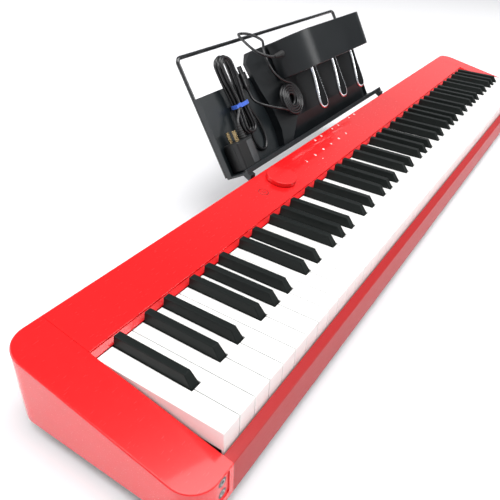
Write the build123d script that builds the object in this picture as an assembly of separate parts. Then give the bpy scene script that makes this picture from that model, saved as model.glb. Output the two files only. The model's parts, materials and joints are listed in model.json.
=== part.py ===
"""Slab digital piano with a lift-off music rest, a triple pedal unit and a power adapter on the rest.

Millimetres. X runs along the keyboard, bass to the left, and Z = 0 is the surface it stands on. The
pieces are drawn in the case frame, whose Y = 0 is the front of the white keys at rest, and all of
them are moved together at the end, so that the origin is the middle of the footprint.
"""

import os
from math import cos, radians, sin, tan

from build123d import *

# Keyboard
WHITE_PITCH = 23.5
WHITE_COUNT = 52
KEY_GAP = 1.0
KEY_TOP = 83.4
WHITE_VISIBLE = 142.9
WHITE_DEPTH = 22.0
WHITE_LIP = 30.0
WHITE_WALL = 2.0
BLACK_START = 49.8
NOSE_GAP = 1.4
BLACK_RISE = 11.8
BLACK_SLOPE = 8.5
BLACK_FOOT = 11.0
BLACK_CREST = 8.6
BLACK_DEPTH = 17.4
BLACK_SIDE_GAP = 0.9
TAIL_WIDTH = 8.5
TAIL_GAP = 1.5
PIVOT_SET_BACK = 57.1
PIVOT_DROP = 21.4
PIVOT_RADIUS = 2.0
PIVOT_FIT = 0.05
TAIL_BOSS = 6.0
FIRST_SINGLE_OCTAVE = 3
SINGLE_OCTAVES = 1

# Case
CHEEK_WIDTH = 50.0
KEY_SIDE_GAP = 1.3
RAIL_GAP = 1.3
RAIL_DEPTH = 10.5
PANEL_SET_BACK = 6.2
PANEL_DEPTH = 62.3
CASE_BOTTOM = 18.2
CASE_WALL = 3.0
CORNER_RADIUS = 28.0
EDGE_ROUND = 1.4
RAIL_DROP = 23.76
TOP_TILT = 11.33
PANEL_LIP = 9.0
SEAM = 0.4
STRIP_GAP = 0.6
STRIP_THICKNESS = 2.0
REAR_WALL = 8.8
REAR_DROP = 10.0

# Underside and chassis
FOOT_HEIGHT = 5.5
FOOT_RADIUS = 11.0
FLOOR_THICKNESS = 2.5
TRAY_INSET = 7.0
TRAY_HEIGHT = 18.0
CHASSIS_TOP = 40.0
CHASSIS_WALL = 2.0
CHASSIS_FRONT_Y = 1.0
CHASSIS_REAR_INSET = 6.4
FLANGE = 14.0
FELT_HEIGHT = 3.0
FELT_WIDTH = 8.0
BLACK_FELT_Y = 70.0
SCREW_RADIUS = 1.4
SCREW_HEAD = 3.0
STAND_SPACING_X = 600.0
STAND_SPACING_Y = 130.0
STAND_HOLE_RADIUS = 2.6
STAND_CENTRE_Y = 100.0
SPEAKER_INSET = 141.0
SPEAKER_Y = 105.0
SPEAKER_LENGTH = 160.0
SPEAKER_WIDTH = 84.0
SLOT_COUNT = 7
SLOT_SPACING = 10.0
SLOT_LENGTH = 110.0
SLOT_WIDTH = 4.0
FOOT_INSET = 21.0
FOOT_FRONT_Y = 14.0
FOOT_REAR_INSET = 19.4
SCREW_INSET = 71.0
SCREWS_PER_ROW = 6

# Controls and sockets
KNOB_X = -218.0
KNOB_SET_BACK = 34.0
KNOB_RADIUS = 22.0
KNOB_HEIGHT = 7.0
KNOB_LIFT = 0.4
SHAFT_RADIUS = 3.0
SHAFT_FIT = 0.05
BUTTON_X = -266.0
BUTTON_SET_BACK = 33.0
BUTTON_RADIUS = 6.3
BUTTON_GAP = 0.35
BUTTON_TRAVEL = 0.8
JACK_OFFSET = 15.5
JACK_HEIGHTS = (33.6, 48.4)
JACK_RADIUS = 5.0
JACK_BORE = 1.8
JACK_LENGTH = 14.0
SOCKET_Z = 42.0
SOCKET_HEIGHT = 20.0
SOCKET_DEPTH = 10.0
REAR_SOCKETS = (
    (70.0, 18.0, 3.0),
    (90.0, 22.0, (12.0, 8.0)),
    (112.0, 22.0, (12.0, 11.0)),
    (134.0, 22.0, 3.2),
    (156.0, 22.0, 3.2),
)

# Music rest
REST_SET_BACK = 41.5
REST_DROP = 3.6
REST_LEAN = 30.0
REST_WIDTH = 498.0
REST_HEIGHT = 120.0
REST_PLATE = 3.0
REST_LEDGE = 38.0
REST_LIP = 4.0
REST_FLANGE = 6.0
WIRE_RADIUS = 3.0
WIRE_TOP = 180.0
WIRE_INSET = 4.0
WIRE_CORNER = 8.0
LEG_INSET = 6.0
LEG_WIDTH = 11.0
LEG_THICKNESS = 4.0
LEG_SET_BACK = 2.9
LEG_DEPTH = 15.0
LEG_FIT = 0.3

# Pedal unit, drawn in the rest's frame: u along X, v up the plate, w out of the plate
UNIT_U = 54.0
BASE_HALF = 168.0
BASE_LENGTH = 156.0
BASE_TOP = 32.0
BASE_EDGE = 6.0
UNIT_GAP = 0.3
HOUSING_HALF = 134.0
HOUSING_FRONT = 97.0
HOUSING_TOP = 88.0
HOUSING_WALL = 3.0
HOUSING_ROUND = 50.0
PEDAL_PITCH = 75.0
PEDAL_TIP = 27.0
PEDAL_HEAD_RADIUS = 13.0
PEDAL_NECK_RADIUS = 7.5
PEDAL_THICKNESS = 8.0
PEDAL_PIVOT_V = 128.0
PEDAL_PIVOT_W = 62.0
PEDAL_SLOPE = 5.0
AXLE_RADIUS = 3.0
AXLE_FIT = 0.06
PEDAL_SLOT_GAP = 1.5
PEDAL_SLOT_LOW = 50.0
PEDAL_SLOT_HIGH = 78.0
GLAND_V = 134.0
GLAND_W = 52.0
GLAND_RADIUS = 4.0

# Adapter and leads, in the same frame
ADAPTER_BOX = (38.0, 43.0, 28.0)
ADAPTER_AT = (-218.5, 22.2, 17.0)
BLADE_SIZE = (6.5, 16.0, 1.5)
PEDAL_LEAD_DIAMETER = 4.2
ADAPTER_LEAD_DIAMETER = 4.6
PEDAL_LEAD_ROUTE = [
    (-92.0, 134.0, 52.0),
    (-104.0, 134.0, 52.0),
    (-116.0, 141.0, 45.5),
    (-120.5, 154.0, 34.0),
    (-116.0, 170.0, 21.0),
    (-104.0, 185.5, 5.0),
    (-87.0, 188.5, -4.0),
    (-72.5, 183.0, 4.0),
    (-69.0, 166.0, 21.0),
    (-84.0, 159.5, 30.0),
    (-97.0, 148.0, 34.5),
    (-102.0, 131.0, 37.0),
    (-99.5, 114.0, 38.6),
    (-89.5, 100.5, 40.0),
    (-76.0, 92.0, 40.5),
]
PEDAL_TAIL_ROUTE = [
    (-103.5, 55.0, 38.8),
    (-119.0, 60.5, 37.0),
    (-133.0, 71.0, 27.5),
    (-137.5, 82.0, 14.0),
    (-137.5, 92.0, 9.0),
    (-137.5, 101.0, 9.0),
]
PEDAL_COIL = (-76.0, 64.0, 38.4, 30.0, 12.0)
PLUG_LENGTH = 30.0
ADAPTER_LEAD_ROUTE = [
    (-209.0, 53.8, 22.0),
    (-209.0, 63.5, 21.8),
    (-201.0, 73.5, 21.0),
    (-189.5, 83.5, 20.5),
]
ADAPTER_TAIL_ROUTE = [
    (-164.0, 52.0, 6.4),
    (-165.0, 30.0, 4.6),
    (-158.5, 14.5, 3.6),
    (-145.0, 8.5, 3.4),
    (-133.5, 19.5, 3.4),
    (-131.5, 40.0, 3.6),
    (-136.5, 60.0, 4.4),
    (-146.0, 76.5, 5.2),
    (-152.0, 94.0, 5.6),
]
HANK = (-176.0, 102.0, 13.6, 60.0, 15.0, 20.0)
TIE_V = 88.0
TIE_WIDTH = 5.0

KEYBOARD_HALF = WHITE_PITCH * WHITE_COUNT / 2
CASE_HALF = KEYBOARD_HALF + CHEEK_WIDTH
PANEL_HALF = KEYBOARD_HALF + KEY_SIDE_GAP
OCTAVE = 7 * WHITE_PITCH
NOTE_SLOT = OCTAVE / 12
PITCH_CLASSES = ("c", "c_sharp", "d", "d_sharp", "e", "f", "f_sharp", "g", "g_sharp", "a", "a_sharp", "b")
WHITE_CLASSES = (0, 2, 4, 5, 7, 9, 11)
BLACK_CENTRES = {
    1: 0.9 * WHITE_PITCH,
    3: 2.1 * WHITE_PITCH,
    6: 3 * WHITE_PITCH + 1.5 * 4 * WHITE_PITCH / 7,
    8: 3 * WHITE_PITCH + 3.5 * 4 * WHITE_PITCH / 7,
    10: 3 * WHITE_PITCH + 5.5 * 4 * WHITE_PITCH / 7,
}
FIRST_NOTE = 9
LAST_NOTE = FIRST_NOTE + 87
CUT_HALF = BLACK_FOOT / 2 + BLACK_SIDE_GAP
PIVOT_Y = WHITE_VISIBLE + PIVOT_SET_BACK
PIVOT_Z = KEY_TOP - PIVOT_DROP
RAIL_INNER_Y = -RAIL_GAP
FRONT_Y = RAIL_INNER_Y - RAIL_DEPTH
PANEL_FRONT_Y = WHITE_VISIBLE + PANEL_SET_BACK
STRIP_FRONT_Y = WHITE_VISIBLE + STRIP_GAP
CASE_REAR_Y = PANEL_FRONT_Y + PANEL_DEPTH
TOP_AT_ZERO = KEY_TOP - RAIL_DROP
REAR_TOP = TOP_AT_ZERO + tan(radians(TOP_TILT)) * CASE_REAR_Y - REAR_DROP
CHASSIS_REAR_Y = CASE_REAR_Y - CHASSIS_REAR_INSET
TRAY_TOP = FOOT_HEIGHT + TRAY_HEIGHT + 0.5
SPEAKER_PLACES = (SPEAKER_INSET - KEYBOARD_HALF, KEYBOARD_HALF - SPEAKER_INSET)
FOOT_X = (FOOT_INSET - KEYBOARD_HALF, 0, KEYBOARD_HALF - FOOT_INSET)
FOOT_Y = (FOOT_FRONT_Y, CASE_REAR_Y - FOOT_REAR_INSET)
JACK_X = -KEYBOARD_HALF - JACK_OFFSET
LEG_X = REST_WIDTH / 2 - LEG_INSET
LEG_FRONT_Y = CASE_REAR_Y + LEG_SET_BACK
LEG_BOTTOM = REAR_TOP - LEG_DEPTH
REST_Y = CASE_REAR_Y + REST_SET_BACK
REST_Z = REAR_TOP - REST_DROP


def top_height(y):
    """Height of the case's sloping top at a distance behind the key fronts."""
    return TOP_AT_ZERO + tan(radians(TOP_TILT)) * y


TAIL_TOP = top_height(PANEL_FRONT_Y) - PANEL_LIP - TAIL_GAP


def block(x0, x1, y0, y1, z0, z1):
    """Box between two corners."""
    return Pos((x0 + x1) / 2, (y0 + y1) / 2, (z0 + z1) / 2) * Box(x1 - x0, y1 - y0, z1 - z0)


def side_prism(points, x0, x1):
    """Side-view outline of (y, z) points, carried along X from x0 to x1."""
    face = make_face(Polyline(*[(x0, y, z) for y, z in points], close=True))
    return extrude(face, amount=x1 - x0, dir=(1, 0, 0))


def front_prism(points, y0, y1):
    """Front-view outline of (x, z) points, carried along Y from y0 to y1."""
    face = make_face(Polyline(*[(x, y0, z) for x, z in points], close=True))
    return extrude(face, amount=y1 - y0, dir=(0, 1, 0))


def under_top(x0, x1, y0, y1, bottom, drop):
    """Block whose top follows the case's slope, lowered by drop."""
    outline = [(y0, bottom), (y0, top_height(y0) - drop), (y1, top_height(y1) - drop), (y1, bottom)]
    return side_prism(outline, x0, x1)


def rounded_slab(half_x, y0, y1, z0, z1, radius):
    """Upright slab with four rounded corners in plan."""
    plan = Pos(0, (y0 + y1) / 2, z0) * RectangleRounded(2 * half_x, y1 - y0, radius)
    return extrude(plan, amount=z1 - z0, dir=(0, 0, 1))


def on_panel(x, set_back, rise=0.0):
    """Place on the sloping top, a distance behind the panel's front edge, Z square to the panel."""
    slope = radians(TOP_TILT)
    y = PANEL_FRONT_Y + set_back * cos(slope)
    place = Pos(x, y - rise * sin(slope), top_height(y) + rise * cos(slope))
    return place * Rot(TOP_TILT, 0, 0)


def tube(points, radius):
    """Round tube through a route, each corner an arc as large as its two runs allow."""
    vectors = [Vector(*p) for p in points]
    radii = []
    for before, here, after in zip(vectors, vectors[1:], vectors[2:]):
        turn = (here - before).get_angle(after - here)
        run = min((here - before).length, (after - here).length)
        radii.append(0.45 * run / tan(radians(turn) / 2))
    print("bend radii", [round(r, 1) for r in radii])
    path = FilletPolyline(*vectors, radius=radii)
    section = Plane(origin=vectors[0], z_dir=vectors[1] - vectors[0]) * Circle(radius)
    solid = sweep(section, path=path)
    print("tube length", round(path.length, 1), "volume ratio", round(solid.volume / section.area / path.length, 4))
    return solid


# Keys


def note_start(note):
    """Left edge of a note's octave."""
    return -KEYBOARD_HALF + 2 * WHITE_PITCH + (note // 12 - 1) * OCTAVE


def slot_centre(note):
    """Middle of a note's tail where it meets the pivot shaft."""
    return note_start(note) + (note % 12 + 0.5) * NOTE_SLOT


def tail(note, top, front):
    """Narrow arm from the key to its bore on the pivot shaft."""
    centre = slot_centre(note)
    arm = block(centre - TAIL_WIDTH / 2, centre + TAIL_WIDTH / 2, front, PIVOT_Y, PIVOT_Z - TAIL_BOSS, top)
    boss = Pos(centre, PIVOT_Y, PIVOT_Z) * Rot(0, 90, 0) * Cylinder(TAIL_BOSS, TAIL_WIDTH)
    bore = Pos(centre, PIVOT_Y, PIVOT_Z) * Rot(0, 90, 0) * Cylinder(PIVOT_RADIUS + PIVOT_FIT, 2 * TAIL_WIDTH)
    upper = block(centre - TAIL_WIDTH, centre + TAIL_WIDTH, PIVOT_Y - 0.01, PIVOT_Y + TAIL_BOSS, PIVOT_Z, top + 1)
    return arm + boss - upper - bore


def white_key(note):
    """White key: a wide front, a rear narrowed beside its black neighbours, and a tail."""
    degree = WHITE_CLASSES.index(note % 12)
    left = note_start(note) + degree * WHITE_PITCH + KEY_GAP / 2
    right = left + WHITE_PITCH - KEY_GAP
    rear_left = left
    rear_right = right
    if (note - 1) % 12 in BLACK_CENTRES and note > FIRST_NOTE:
        rear_left = note_start(note) + BLACK_CENTRES[(note - 1) % 12] + CUT_HALF
    if (note + 1) % 12 in BLACK_CENTRES and note < LAST_NOTE:
        rear_right = note_start(note) + BLACK_CENTRES[(note + 1) % 12] - CUT_HALF
    shoulder = BLACK_START - NOSE_GAP
    bottom = KEY_TOP - WHITE_DEPTH
    plan = [(left, 0), (right, 0), (right, shoulder), (rear_right, shoulder)]
    plan += [(rear_right, WHITE_VISIBLE), (rear_left, WHITE_VISIBLE), (rear_left, shoulder), (left, shoulder)]
    corners = [p for i, p in enumerate(plan) if p != plan[i - 1]]
    face = Pos(0, 0, bottom) * make_face(Polyline(*corners, close=True))
    body = extrude(face, amount=WHITE_DEPTH, dir=(0, 0, 1))
    body += block(left, right, 0, WHITE_WALL, KEY_TOP - WHITE_LIP, KEY_TOP - 1)
    top_edges = body.edges().filter_by(lambda e: e.center().Z > KEY_TOP - 0.01)
    front_edges = body.edges().filter_by(lambda e: e.center().Y < 0.01 and abs(e.center().Z - KEY_TOP + WHITE_LIP / 2) < 1)
    body = fillet(top_edges + front_edges, 0.6)
    hollow_top = KEY_TOP - WHITE_WALL - 1
    body -= block(left + WHITE_WALL, right - WHITE_WALL, WHITE_WALL, shoulder - WHITE_WALL, bottom - 1, hollow_top)
    rear_hollow = (shoulder + WHITE_WALL, WHITE_VISIBLE - WHITE_WALL, bottom - 1, hollow_top)
    body -= block(rear_left + WHITE_WALL, rear_right - WHITE_WALL, *rear_hollow)
    return body + tail(note, TAIL_TOP, WHITE_VISIBLE - 0.5)


def black_key(note):
    """Black key: sides that lean in, a sloping nose and a tail."""
    centre = note_start(note) + BLACK_CENTRES[note % 12]
    crest = KEY_TOP + BLACK_RISE
    bottom = KEY_TOP - BLACK_DEPTH
    rear = WHITE_VISIBLE - 0.6
    side = [(BLACK_START, bottom), (BLACK_START, KEY_TOP), (BLACK_START + BLACK_SLOPE, crest)]
    side += [(rear, crest), (rear, bottom)]
    front = [(-BLACK_FOOT / 2, bottom), (-BLACK_FOOT / 2, KEY_TOP), (-BLACK_CREST / 2, crest)]
    front += [(BLACK_CREST / 2, crest), (BLACK_FOOT / 2, KEY_TOP), (BLACK_FOOT / 2, bottom)]
    long_body = side_prism(side, centre - BLACK_FOOT, centre + BLACK_FOOT)
    lean = front_prism([(centre + x, z) for x, z in front], 0, WHITE_VISIBLE + 10)
    body = long_body & lean
    body = fillet(body.edges().filter_by(lambda e: e.center().Z > KEY_TOP + 1), 0.9)
    return body + tail(note, TAIL_TOP, rear - 0.5)


def notes(is_black, first, last):
    """Notes of one colour from first to last."""
    return [n for n in range(first, last + 1) if (n % 12 in BLACK_CENTRES) == is_black]


def key(note, shapes):
    """Key for a note, copied along from the first one of its shape."""
    cut_off = note in (FIRST_NOTE, LAST_NOTE)
    shape = (note % 12, cut_off)
    if shape not in shapes:
        make = black_key if note % 12 in BLACK_CENTRES else white_key
        shapes[shape] = (note, make(note))
    first, solid = shapes[shape]
    return Pos((note - first) // 12 * OCTAVE, 0, 0) * solid


def key_nodes():
    """Single keys of the middle octave, and the rest in one group of each colour on each side."""
    shapes = {}
    single_first = FIRST_NOTE + 3 + 12 * FIRST_SINGLE_OCTAVE
    single_last = single_first + 12 * SINGLE_OCTAVES - 1
    nodes = {}
    for note in range(single_first, single_last + 1):
        nodes[f"key_{PITCH_CLASSES[note % 12]}{note // 12}"] = [key(note, shapes)]
    sides = {"lower": (FIRST_NOTE, single_first - 1), "upper": (single_last + 1, LAST_NOTE)}
    for side, (first, last) in sides.items():
        nodes[f"white_keys_{side}"] = [key(n, shapes) for n in notes(False, first, last)]
        nodes[f"black_keys_{side}"] = [key(n, shapes) for n in notes(True, first, last)]
    return nodes


# Case


def case_outline(inset, drop, bottom):
    """Whole case as one block under the sloping top, rounded in plan."""
    plan_radius = CORNER_RADIUS - inset
    slab = rounded_slab(CASE_HALF - inset, FRONT_Y + inset, CASE_REAR_Y - inset, bottom, 140, plan_radius)
    return slab & under_top(-CASE_HALF, CASE_HALF, FRONT_Y, CASE_REAR_Y, bottom, drop)


def rounded_case():
    """Case block with its upper outside edge rounded over."""
    solid = case_outline(0, 0, CASE_BOTTOM)
    top = solid.faces().sort_by(Axis.Z)[-1]
    return fillet(top.edges(), EDGE_ROUND)


def cheek(shell, side):
    """End block beside the keys, hollow and open below."""
    inner = side * PANEL_HALF
    outer = side * (CASE_HALF + 1)
    keep = block(min(inner, outer), max(inner, outer), FRONT_Y - 1, CASE_REAR_Y + 1, 0, 150)
    hollow_inner = side * (PANEL_HALF + CASE_WALL)
    room = block(min(hollow_inner, outer), max(hollow_inner, outer), FRONT_Y, CASE_REAR_Y, 0, 150)
    body = (shell & keep) - (case_outline(CASE_WALL, CASE_WALL, CASE_BOTTOM - 1) & room)
    inner_wall = (min(hollow_inner, inner) - 1, max(hollow_inner, inner) + 1)
    body -= block(*inner_wall, FRONT_Y + CASE_WALL, CASE_REAR_Y - CASE_WALL, 0, TRAY_TOP)
    if side < 0:
        body -= jack_opening()
    return body


def jack_opening():
    """Recess in the left cheek's front, with two through holes for the headphone jacks."""
    low, high = JACK_HEIGHTS
    recess = Pos(JACK_X, FRONT_Y, (low + high) / 2) * Box(17, 2.4, high - low + 16)
    recess = fillet(recess.edges().filter_by(Axis.Y), 3)
    for z in JACK_HEIGHTS:
        recess += Pos(JACK_X, FRONT_Y, z) * Rot(90, 0, 0) * Cylinder(JACK_RADIUS, 4 * CASE_WALL)
    return recess


def headphone_jacks():
    """Two round jacks, each with a bore for a plug, stepped behind the cheek's wall."""
    jacks = []
    face_y = FRONT_Y + 1.2
    for z in JACK_HEIGHTS:
        barrel = Pos(JACK_X, face_y + JACK_LENGTH / 2, z) * Rot(90, 0, 0) * Cylinder(JACK_RADIUS, JACK_LENGTH)
        back = block(JACK_X - 6, JACK_X + 6, FRONT_Y + CASE_WALL, face_y + JACK_LENGTH, z - 6, z + 6)
        bore = Pos(JACK_X, face_y + JACK_LENGTH / 2 - 1, z) * Rot(90, 0, 0) * Cylinder(JACK_BORE, JACK_LENGTH)
        jacks.append(barrel + back - bore)
    return jacks


def front_rail(shell):
    """Low rail in front of the keys, hollow and open below."""
    keep = block(-PANEL_HALF, PANEL_HALF, FRONT_Y - 1, RAIL_INNER_Y, 0, 150)
    inside = (RAIL_INNER_Y - CASE_WALL, CASE_BOTTOM - 1, CASE_WALL)
    hollow = under_top(-PANEL_HALF, PANEL_HALF, FRONT_Y + CASE_WALL, *inside)
    hollow += block(-PANEL_HALF, PANEL_HALF, FRONT_Y + CASE_WALL, RAIL_INNER_Y + 1, 0, TRAY_TOP)
    return (shell & keep) - hollow


def top_panel(shell):
    """Control panel behind the keys, with holes for the knob's shaft and the power button."""
    half = PANEL_HALF - SEAM
    keep = block(-half, half, PANEL_FRONT_Y, CASE_REAR_Y + 1, 0, 150)
    inner = (PANEL_FRONT_Y + CASE_WALL, CASE_REAR_Y - CASE_WALL, 0, CASE_WALL)
    body = (shell & keep) - under_top(-half - 1, half + 1, *inner)
    body -= block(-half - 1, half + 1, PANEL_FRONT_Y - 1, CASE_REAR_Y - CASE_WALL, 0, top_height(PANEL_FRONT_Y) - PANEL_LIP)
    body -= block(-half - 1, half + 1, CASE_REAR_Y - 2 * CASE_WALL, CASE_REAR_Y + 1, 0, REAR_TOP - 8)
    edge = body.edges().filter_by(Axis.X).filter_by(lambda e: e.center().Y < PANEL_FRONT_Y + 0.01)
    body = fillet(edge.sort_by(Axis.Z)[-1:], 0.6)
    body -= on_panel(KNOB_X, KNOB_SET_BACK) * Cylinder(SHAFT_RADIUS + 0.6, 30)
    return body - on_panel(BUTTON_X, BUTTON_SET_BACK) * Cylinder(BUTTON_RADIUS + BUTTON_GAP, 30)


def fallboard_strip():
    """Sloping strip that closes the gap between the panel's edge and the key tops."""
    rise = top_height(PANEL_FRONT_Y) - 2.2
    start = KEY_TOP + 0.9
    outline = [(STRIP_FRONT_Y, start), (PANEL_FRONT_Y, rise), (PANEL_FRONT_Y, rise - STRIP_THICKNESS)]
    outline += [(STRIP_FRONT_Y + 0.4, start - STRIP_THICKNESS)]
    return side_prism(outline, -PANEL_HALF, PANEL_HALF)


def rear_panel():
    """Black back wall with the two sockets that take the music rest's legs and a window for the jacks."""
    half = CASE_HALF - CORNER_RADIUS
    y0 = CASE_REAR_Y
    y1 = CASE_REAR_Y + REAR_WALL
    wall = block(-half, half, y0, y1, CASE_BOTTOM, REAR_TOP)
    wall = fillet(wall.edges().filter_by(Axis.Z).filter_by(lambda e: e.center().Y > y1 - 1), 6)
    wall = fillet(wall.edges().filter_by(Axis.X).sort_by(Axis.Z)[-1:], 1.5)
    for x in (-LEG_X, LEG_X):
        wide = LEG_WIDTH / 2 + LEG_FIT
        y_near = LEG_FRONT_Y - LEG_FIT
        y_far = LEG_FRONT_Y + LEG_THICKNESS + LEG_FIT
        wall -= block(x - wide, x + wide, y_near, y_far, LEG_BOTTOM - LEG_FIT, REAR_TOP + 1)
    return wall - rear_window()


def rear_window():
    """Window in the back wall for the row of sockets."""
    first = REAR_SOCKETS[0]
    last = REAR_SOCKETS[-1]
    x0 = first[0] - first[1] / 2
    x1 = last[0] + last[1] / 2
    half = SOCKET_HEIGHT / 2
    return block(x0, x1, CASE_REAR_Y - 1, CASE_REAR_Y + REAR_WALL + 1, SOCKET_Z - half, SOCKET_Z + half)


def rear_sockets():
    """Row of sockets: power inlet, pedal and data sockets, and two audio outputs."""
    front = CHASSIS_REAR_Y + 1
    rear = CASE_REAR_Y + REAR_WALL - 2
    low = SOCKET_Z - SOCKET_HEIGHT / 2
    sockets = []
    for x, width, hole in REAR_SOCKETS:
        shell = block(x - width / 2, x + width / 2, front, rear, low, low + SOCKET_HEIGHT)
        if isinstance(hole, tuple):
            shell -= Pos(x, rear, SOCKET_Z) * Box(hole[0], 2 * SOCKET_DEPTH, hole[1])
        else:
            shell -= Pos(x, rear, SOCKET_Z) * Rot(90, 0, 0) * Cylinder(hole, 2 * SOCKET_DEPTH)
        sockets.append(shell)
    return sockets


def lower_case():
    """Black tray under the instrument: floor, low wall, speaker slots, screw and stand holes."""
    floor = FOOT_HEIGHT
    y0 = FRONT_Y + TRAY_INSET
    y1 = CASE_REAR_Y - TRAY_INSET + 4
    half = CASE_HALF - TRAY_INSET
    radius = CORNER_RADIUS - TRAY_INSET
    tray = rounded_slab(half, y0, y1, floor, floor + TRAY_HEIGHT, radius)
    inner = (floor + FLOOR_THICKNESS, floor + TRAY_HEIGHT + 1, radius - FLOOR_THICKNESS)
    tray -= rounded_slab(half - FLOOR_THICKNESS, y0 + FLOOR_THICKNESS, y1 - FLOOR_THICKNESS, *inner)
    for x, y in screw_places():
        tray -= Pos(x, y, floor) * Cylinder(SCREW_RADIUS + 0.3, 4 * FLOOR_THICKNESS)
    for x in (-STAND_SPACING_X / 2, STAND_SPACING_X / 2):
        for y in (-STAND_SPACING_Y / 2, STAND_SPACING_Y / 2):
            tray -= Pos(x, STAND_CENTRE_Y + y, floor) * Cylinder(STAND_HOLE_RADIUS, 4 * FLOOR_THICKNESS)
    for x in SPEAKER_PLACES:
        for row in range(SLOT_COUNT):
            y = SPEAKER_Y + SLOT_SPACING * (row - (SLOT_COUNT - 1) / 2)
            tray -= Pos(x, y, floor) * Box(SLOT_LENGTH, SLOT_WIDTH, 4 * FLOOR_THICKNESS)
    return tray


def screw_places():
    """Case screws in two rows under the chassis flanges."""
    end = KEYBOARD_HALF - SCREW_INSET
    across = [end * (2 * i / (SCREWS_PER_ROW - 1) - 1) for i in range(SCREWS_PER_ROW)]
    return [(x, y) for x in across for y in (CHASSIS_FRONT_Y + FLANGE / 2, CHASSIS_REAR_Y - FLANGE / 2)]


def case_screws():
    """Pan-head screws that hold the tray to the chassis."""
    screws = []
    for x, y in screw_places():
        head = Pos(x, y, FOOT_HEIGHT - 0.8) * Cylinder(SCREW_HEAD, 1.6)
        shank_top = FOOT_HEIGHT + FLOOR_THICKNESS + CHASSIS_WALL
        shank = Pos(x, y, (FOOT_HEIGHT + shank_top) / 2) * Cylinder(SCREW_RADIUS, shank_top - FOOT_HEIGHT)
        slot = Pos(x, y, FOOT_HEIGHT - 1.6) * Box(3.4, 0.8, 1.4) + Pos(x, y, FOOT_HEIGHT - 1.6) * Box(0.8, 3.4, 1.4)
        screws.append(head + shank - slot)
    return screws


def rubber_feet():
    """Tapered rubber feet."""
    feet = []
    for x in FOOT_X:
        for y in FOOT_Y:
            cone = Pos(x, y, FOOT_HEIGHT / 2) * Cone(FOOT_RADIUS - 1, FOOT_RADIUS, FOOT_HEIGHT)
            feet.append(cone)
    return feet


def keybed_chassis():
    """Steel channel that carries the keys, with flanges on the tray and ribs for the pivot shaft."""
    half = KEYBOARD_HALF - 4
    low = FOOT_HEIGHT + FLOOR_THICKNESS
    wall = CHASSIS_WALL
    shell = block(-half, half, CHASSIS_FRONT_Y, CHASSIS_REAR_Y, low, CHASSIS_TOP)
    shell -= block(-half - 1, half + 1, CHASSIS_FRONT_Y + FLANGE, CHASSIS_REAR_Y - FLANGE, low - 1, low + wall + 0.01)
    shell -= block(-half - 1, half + 1, CHASSIS_FRONT_Y + wall, CHASSIS_REAR_Y - wall, low + wall, CHASSIS_TOP - wall)
    for x, y in screw_places():
        shell -= Pos(x, y, low) * Cylinder(SCREW_RADIUS, 3 * wall)
    for octave in range(0, 8):
        x = -KEYBOARD_HALF + 2 * WHITE_PITCH + octave * OCTAVE
        rib = block(x - 0.9, x + 0.9, PIVOT_Y - 8, CHASSIS_REAR_Y, CHASSIS_TOP - 0.5, PIVOT_Z + 6)
        shell += rib - Pos(x, PIVOT_Y, PIVOT_Z) * Rot(0, 90, 0) * Cylinder(PIVOT_RADIUS, 10)
    return shell


def pivot_shaft():
    """Steel rod that every key turns on."""
    return Pos(0, PIVOT_Y, PIVOT_Z) * Rot(0, 90, 0) * Cylinder(PIVOT_RADIUS, 2 * KEYBOARD_HALF)


def key_felts():
    """Felt strip under the key lips and a second one under the black keys."""
    half = KEYBOARD_HALF - 5
    top = CHASSIS_TOP + FELT_HEIGHT
    return [block(-half, half, y, y + FELT_WIDTH, CHASSIS_TOP, top) for y in (CHASSIS_FRONT_Y, BLACK_FELT_Y)]


def contact_board():
    """Sensor board on the chassis with one rubber dome strip."""
    half = KEYBOARD_HALF - 10
    board = block(-half, half, 104, 140, CHASSIS_TOP, CHASSIS_TOP + 1.6)
    dome = front_prism([(-half + 4, CHASSIS_TOP + 1.6), (half - 4, CHASSIS_TOP + 1.6), (half - 4, 52), (-half + 4, 52)], 116, 126)
    return [board, dome]


def main_board():
    """Sound and power board on the tray's floor, with its larger components."""
    low = FOOT_HEIGHT + FLOOR_THICKNESS
    posts = [(-95, 45), (95, 45), (-95, 145), (95, 145)]
    solid = block(-110, 110, 35, 155, low + 5, low + 6.6)
    for x, y in posts:
        solid += Pos(x, y, low + 2.5) * Cylinder(3, 5)
    solid += block(-60, -36, 80, 104, low + 6.6, low + 8.6)
    solid += block(10, 30, 90, 104, low + 6.6, low + 8.0)
    solid += block(50, 90, 100, 120, low + 6.6, low + 20)
    for x in (-20, -6, 8):
        solid += Pos(x, 60, low + 13) * Cylinder(5, 13)
    return solid


def speaker(x):
    """Oval speaker facing down through the tray's slots: flange, cone housing and magnet."""
    low = FOOT_HEIGHT + FLOOR_THICKNESS
    length = SPEAKER_LENGTH
    width = SPEAKER_WIDTH
    rim = 8.0
    flange = extrude(Pos(x, SPEAKER_Y, low) * SlotOverall(length, width), amount=3)
    flange -= extrude(Pos(x, SPEAKER_Y, low - 1) * SlotOverall(length - 2 * rim, width - 2 * rim), amount=3)
    wide = Pos(x, SPEAKER_Y, low + 3) * Rectangle(length - 5 * rim, width - 3 * rim)
    narrow = Pos(x, SPEAKER_Y, low + 16) * Rectangle(length - 12 * rim, width - 5 * rim)
    basket = loft([wide, narrow])
    magnet = Pos(x, SPEAKER_Y, low + 21) * Cylinder(3 * rim, 10)
    return flange + basket + magnet


def panel_board():
    """Touch sensor board under the panel, to the right of the knob."""
    board = on_panel(-60, 32, -6.6) * Box(210, 40, 1.6)
    for x in (-155, 35):
        board += on_panel(x, 32, -4.4) * Cylinder(2.5, 2.8)
    return board


def volume_encoder():
    """Encoder body under the panel with a bore for the knob's shaft."""
    body = on_panel(KNOB_X, KNOB_SET_BACK, -7.0) * Box(14, 14, 8)
    return body - on_panel(KNOB_X, KNOB_SET_BACK, -6.5) * Cylinder(SHAFT_RADIUS + SHAFT_FIT, 12)


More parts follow.
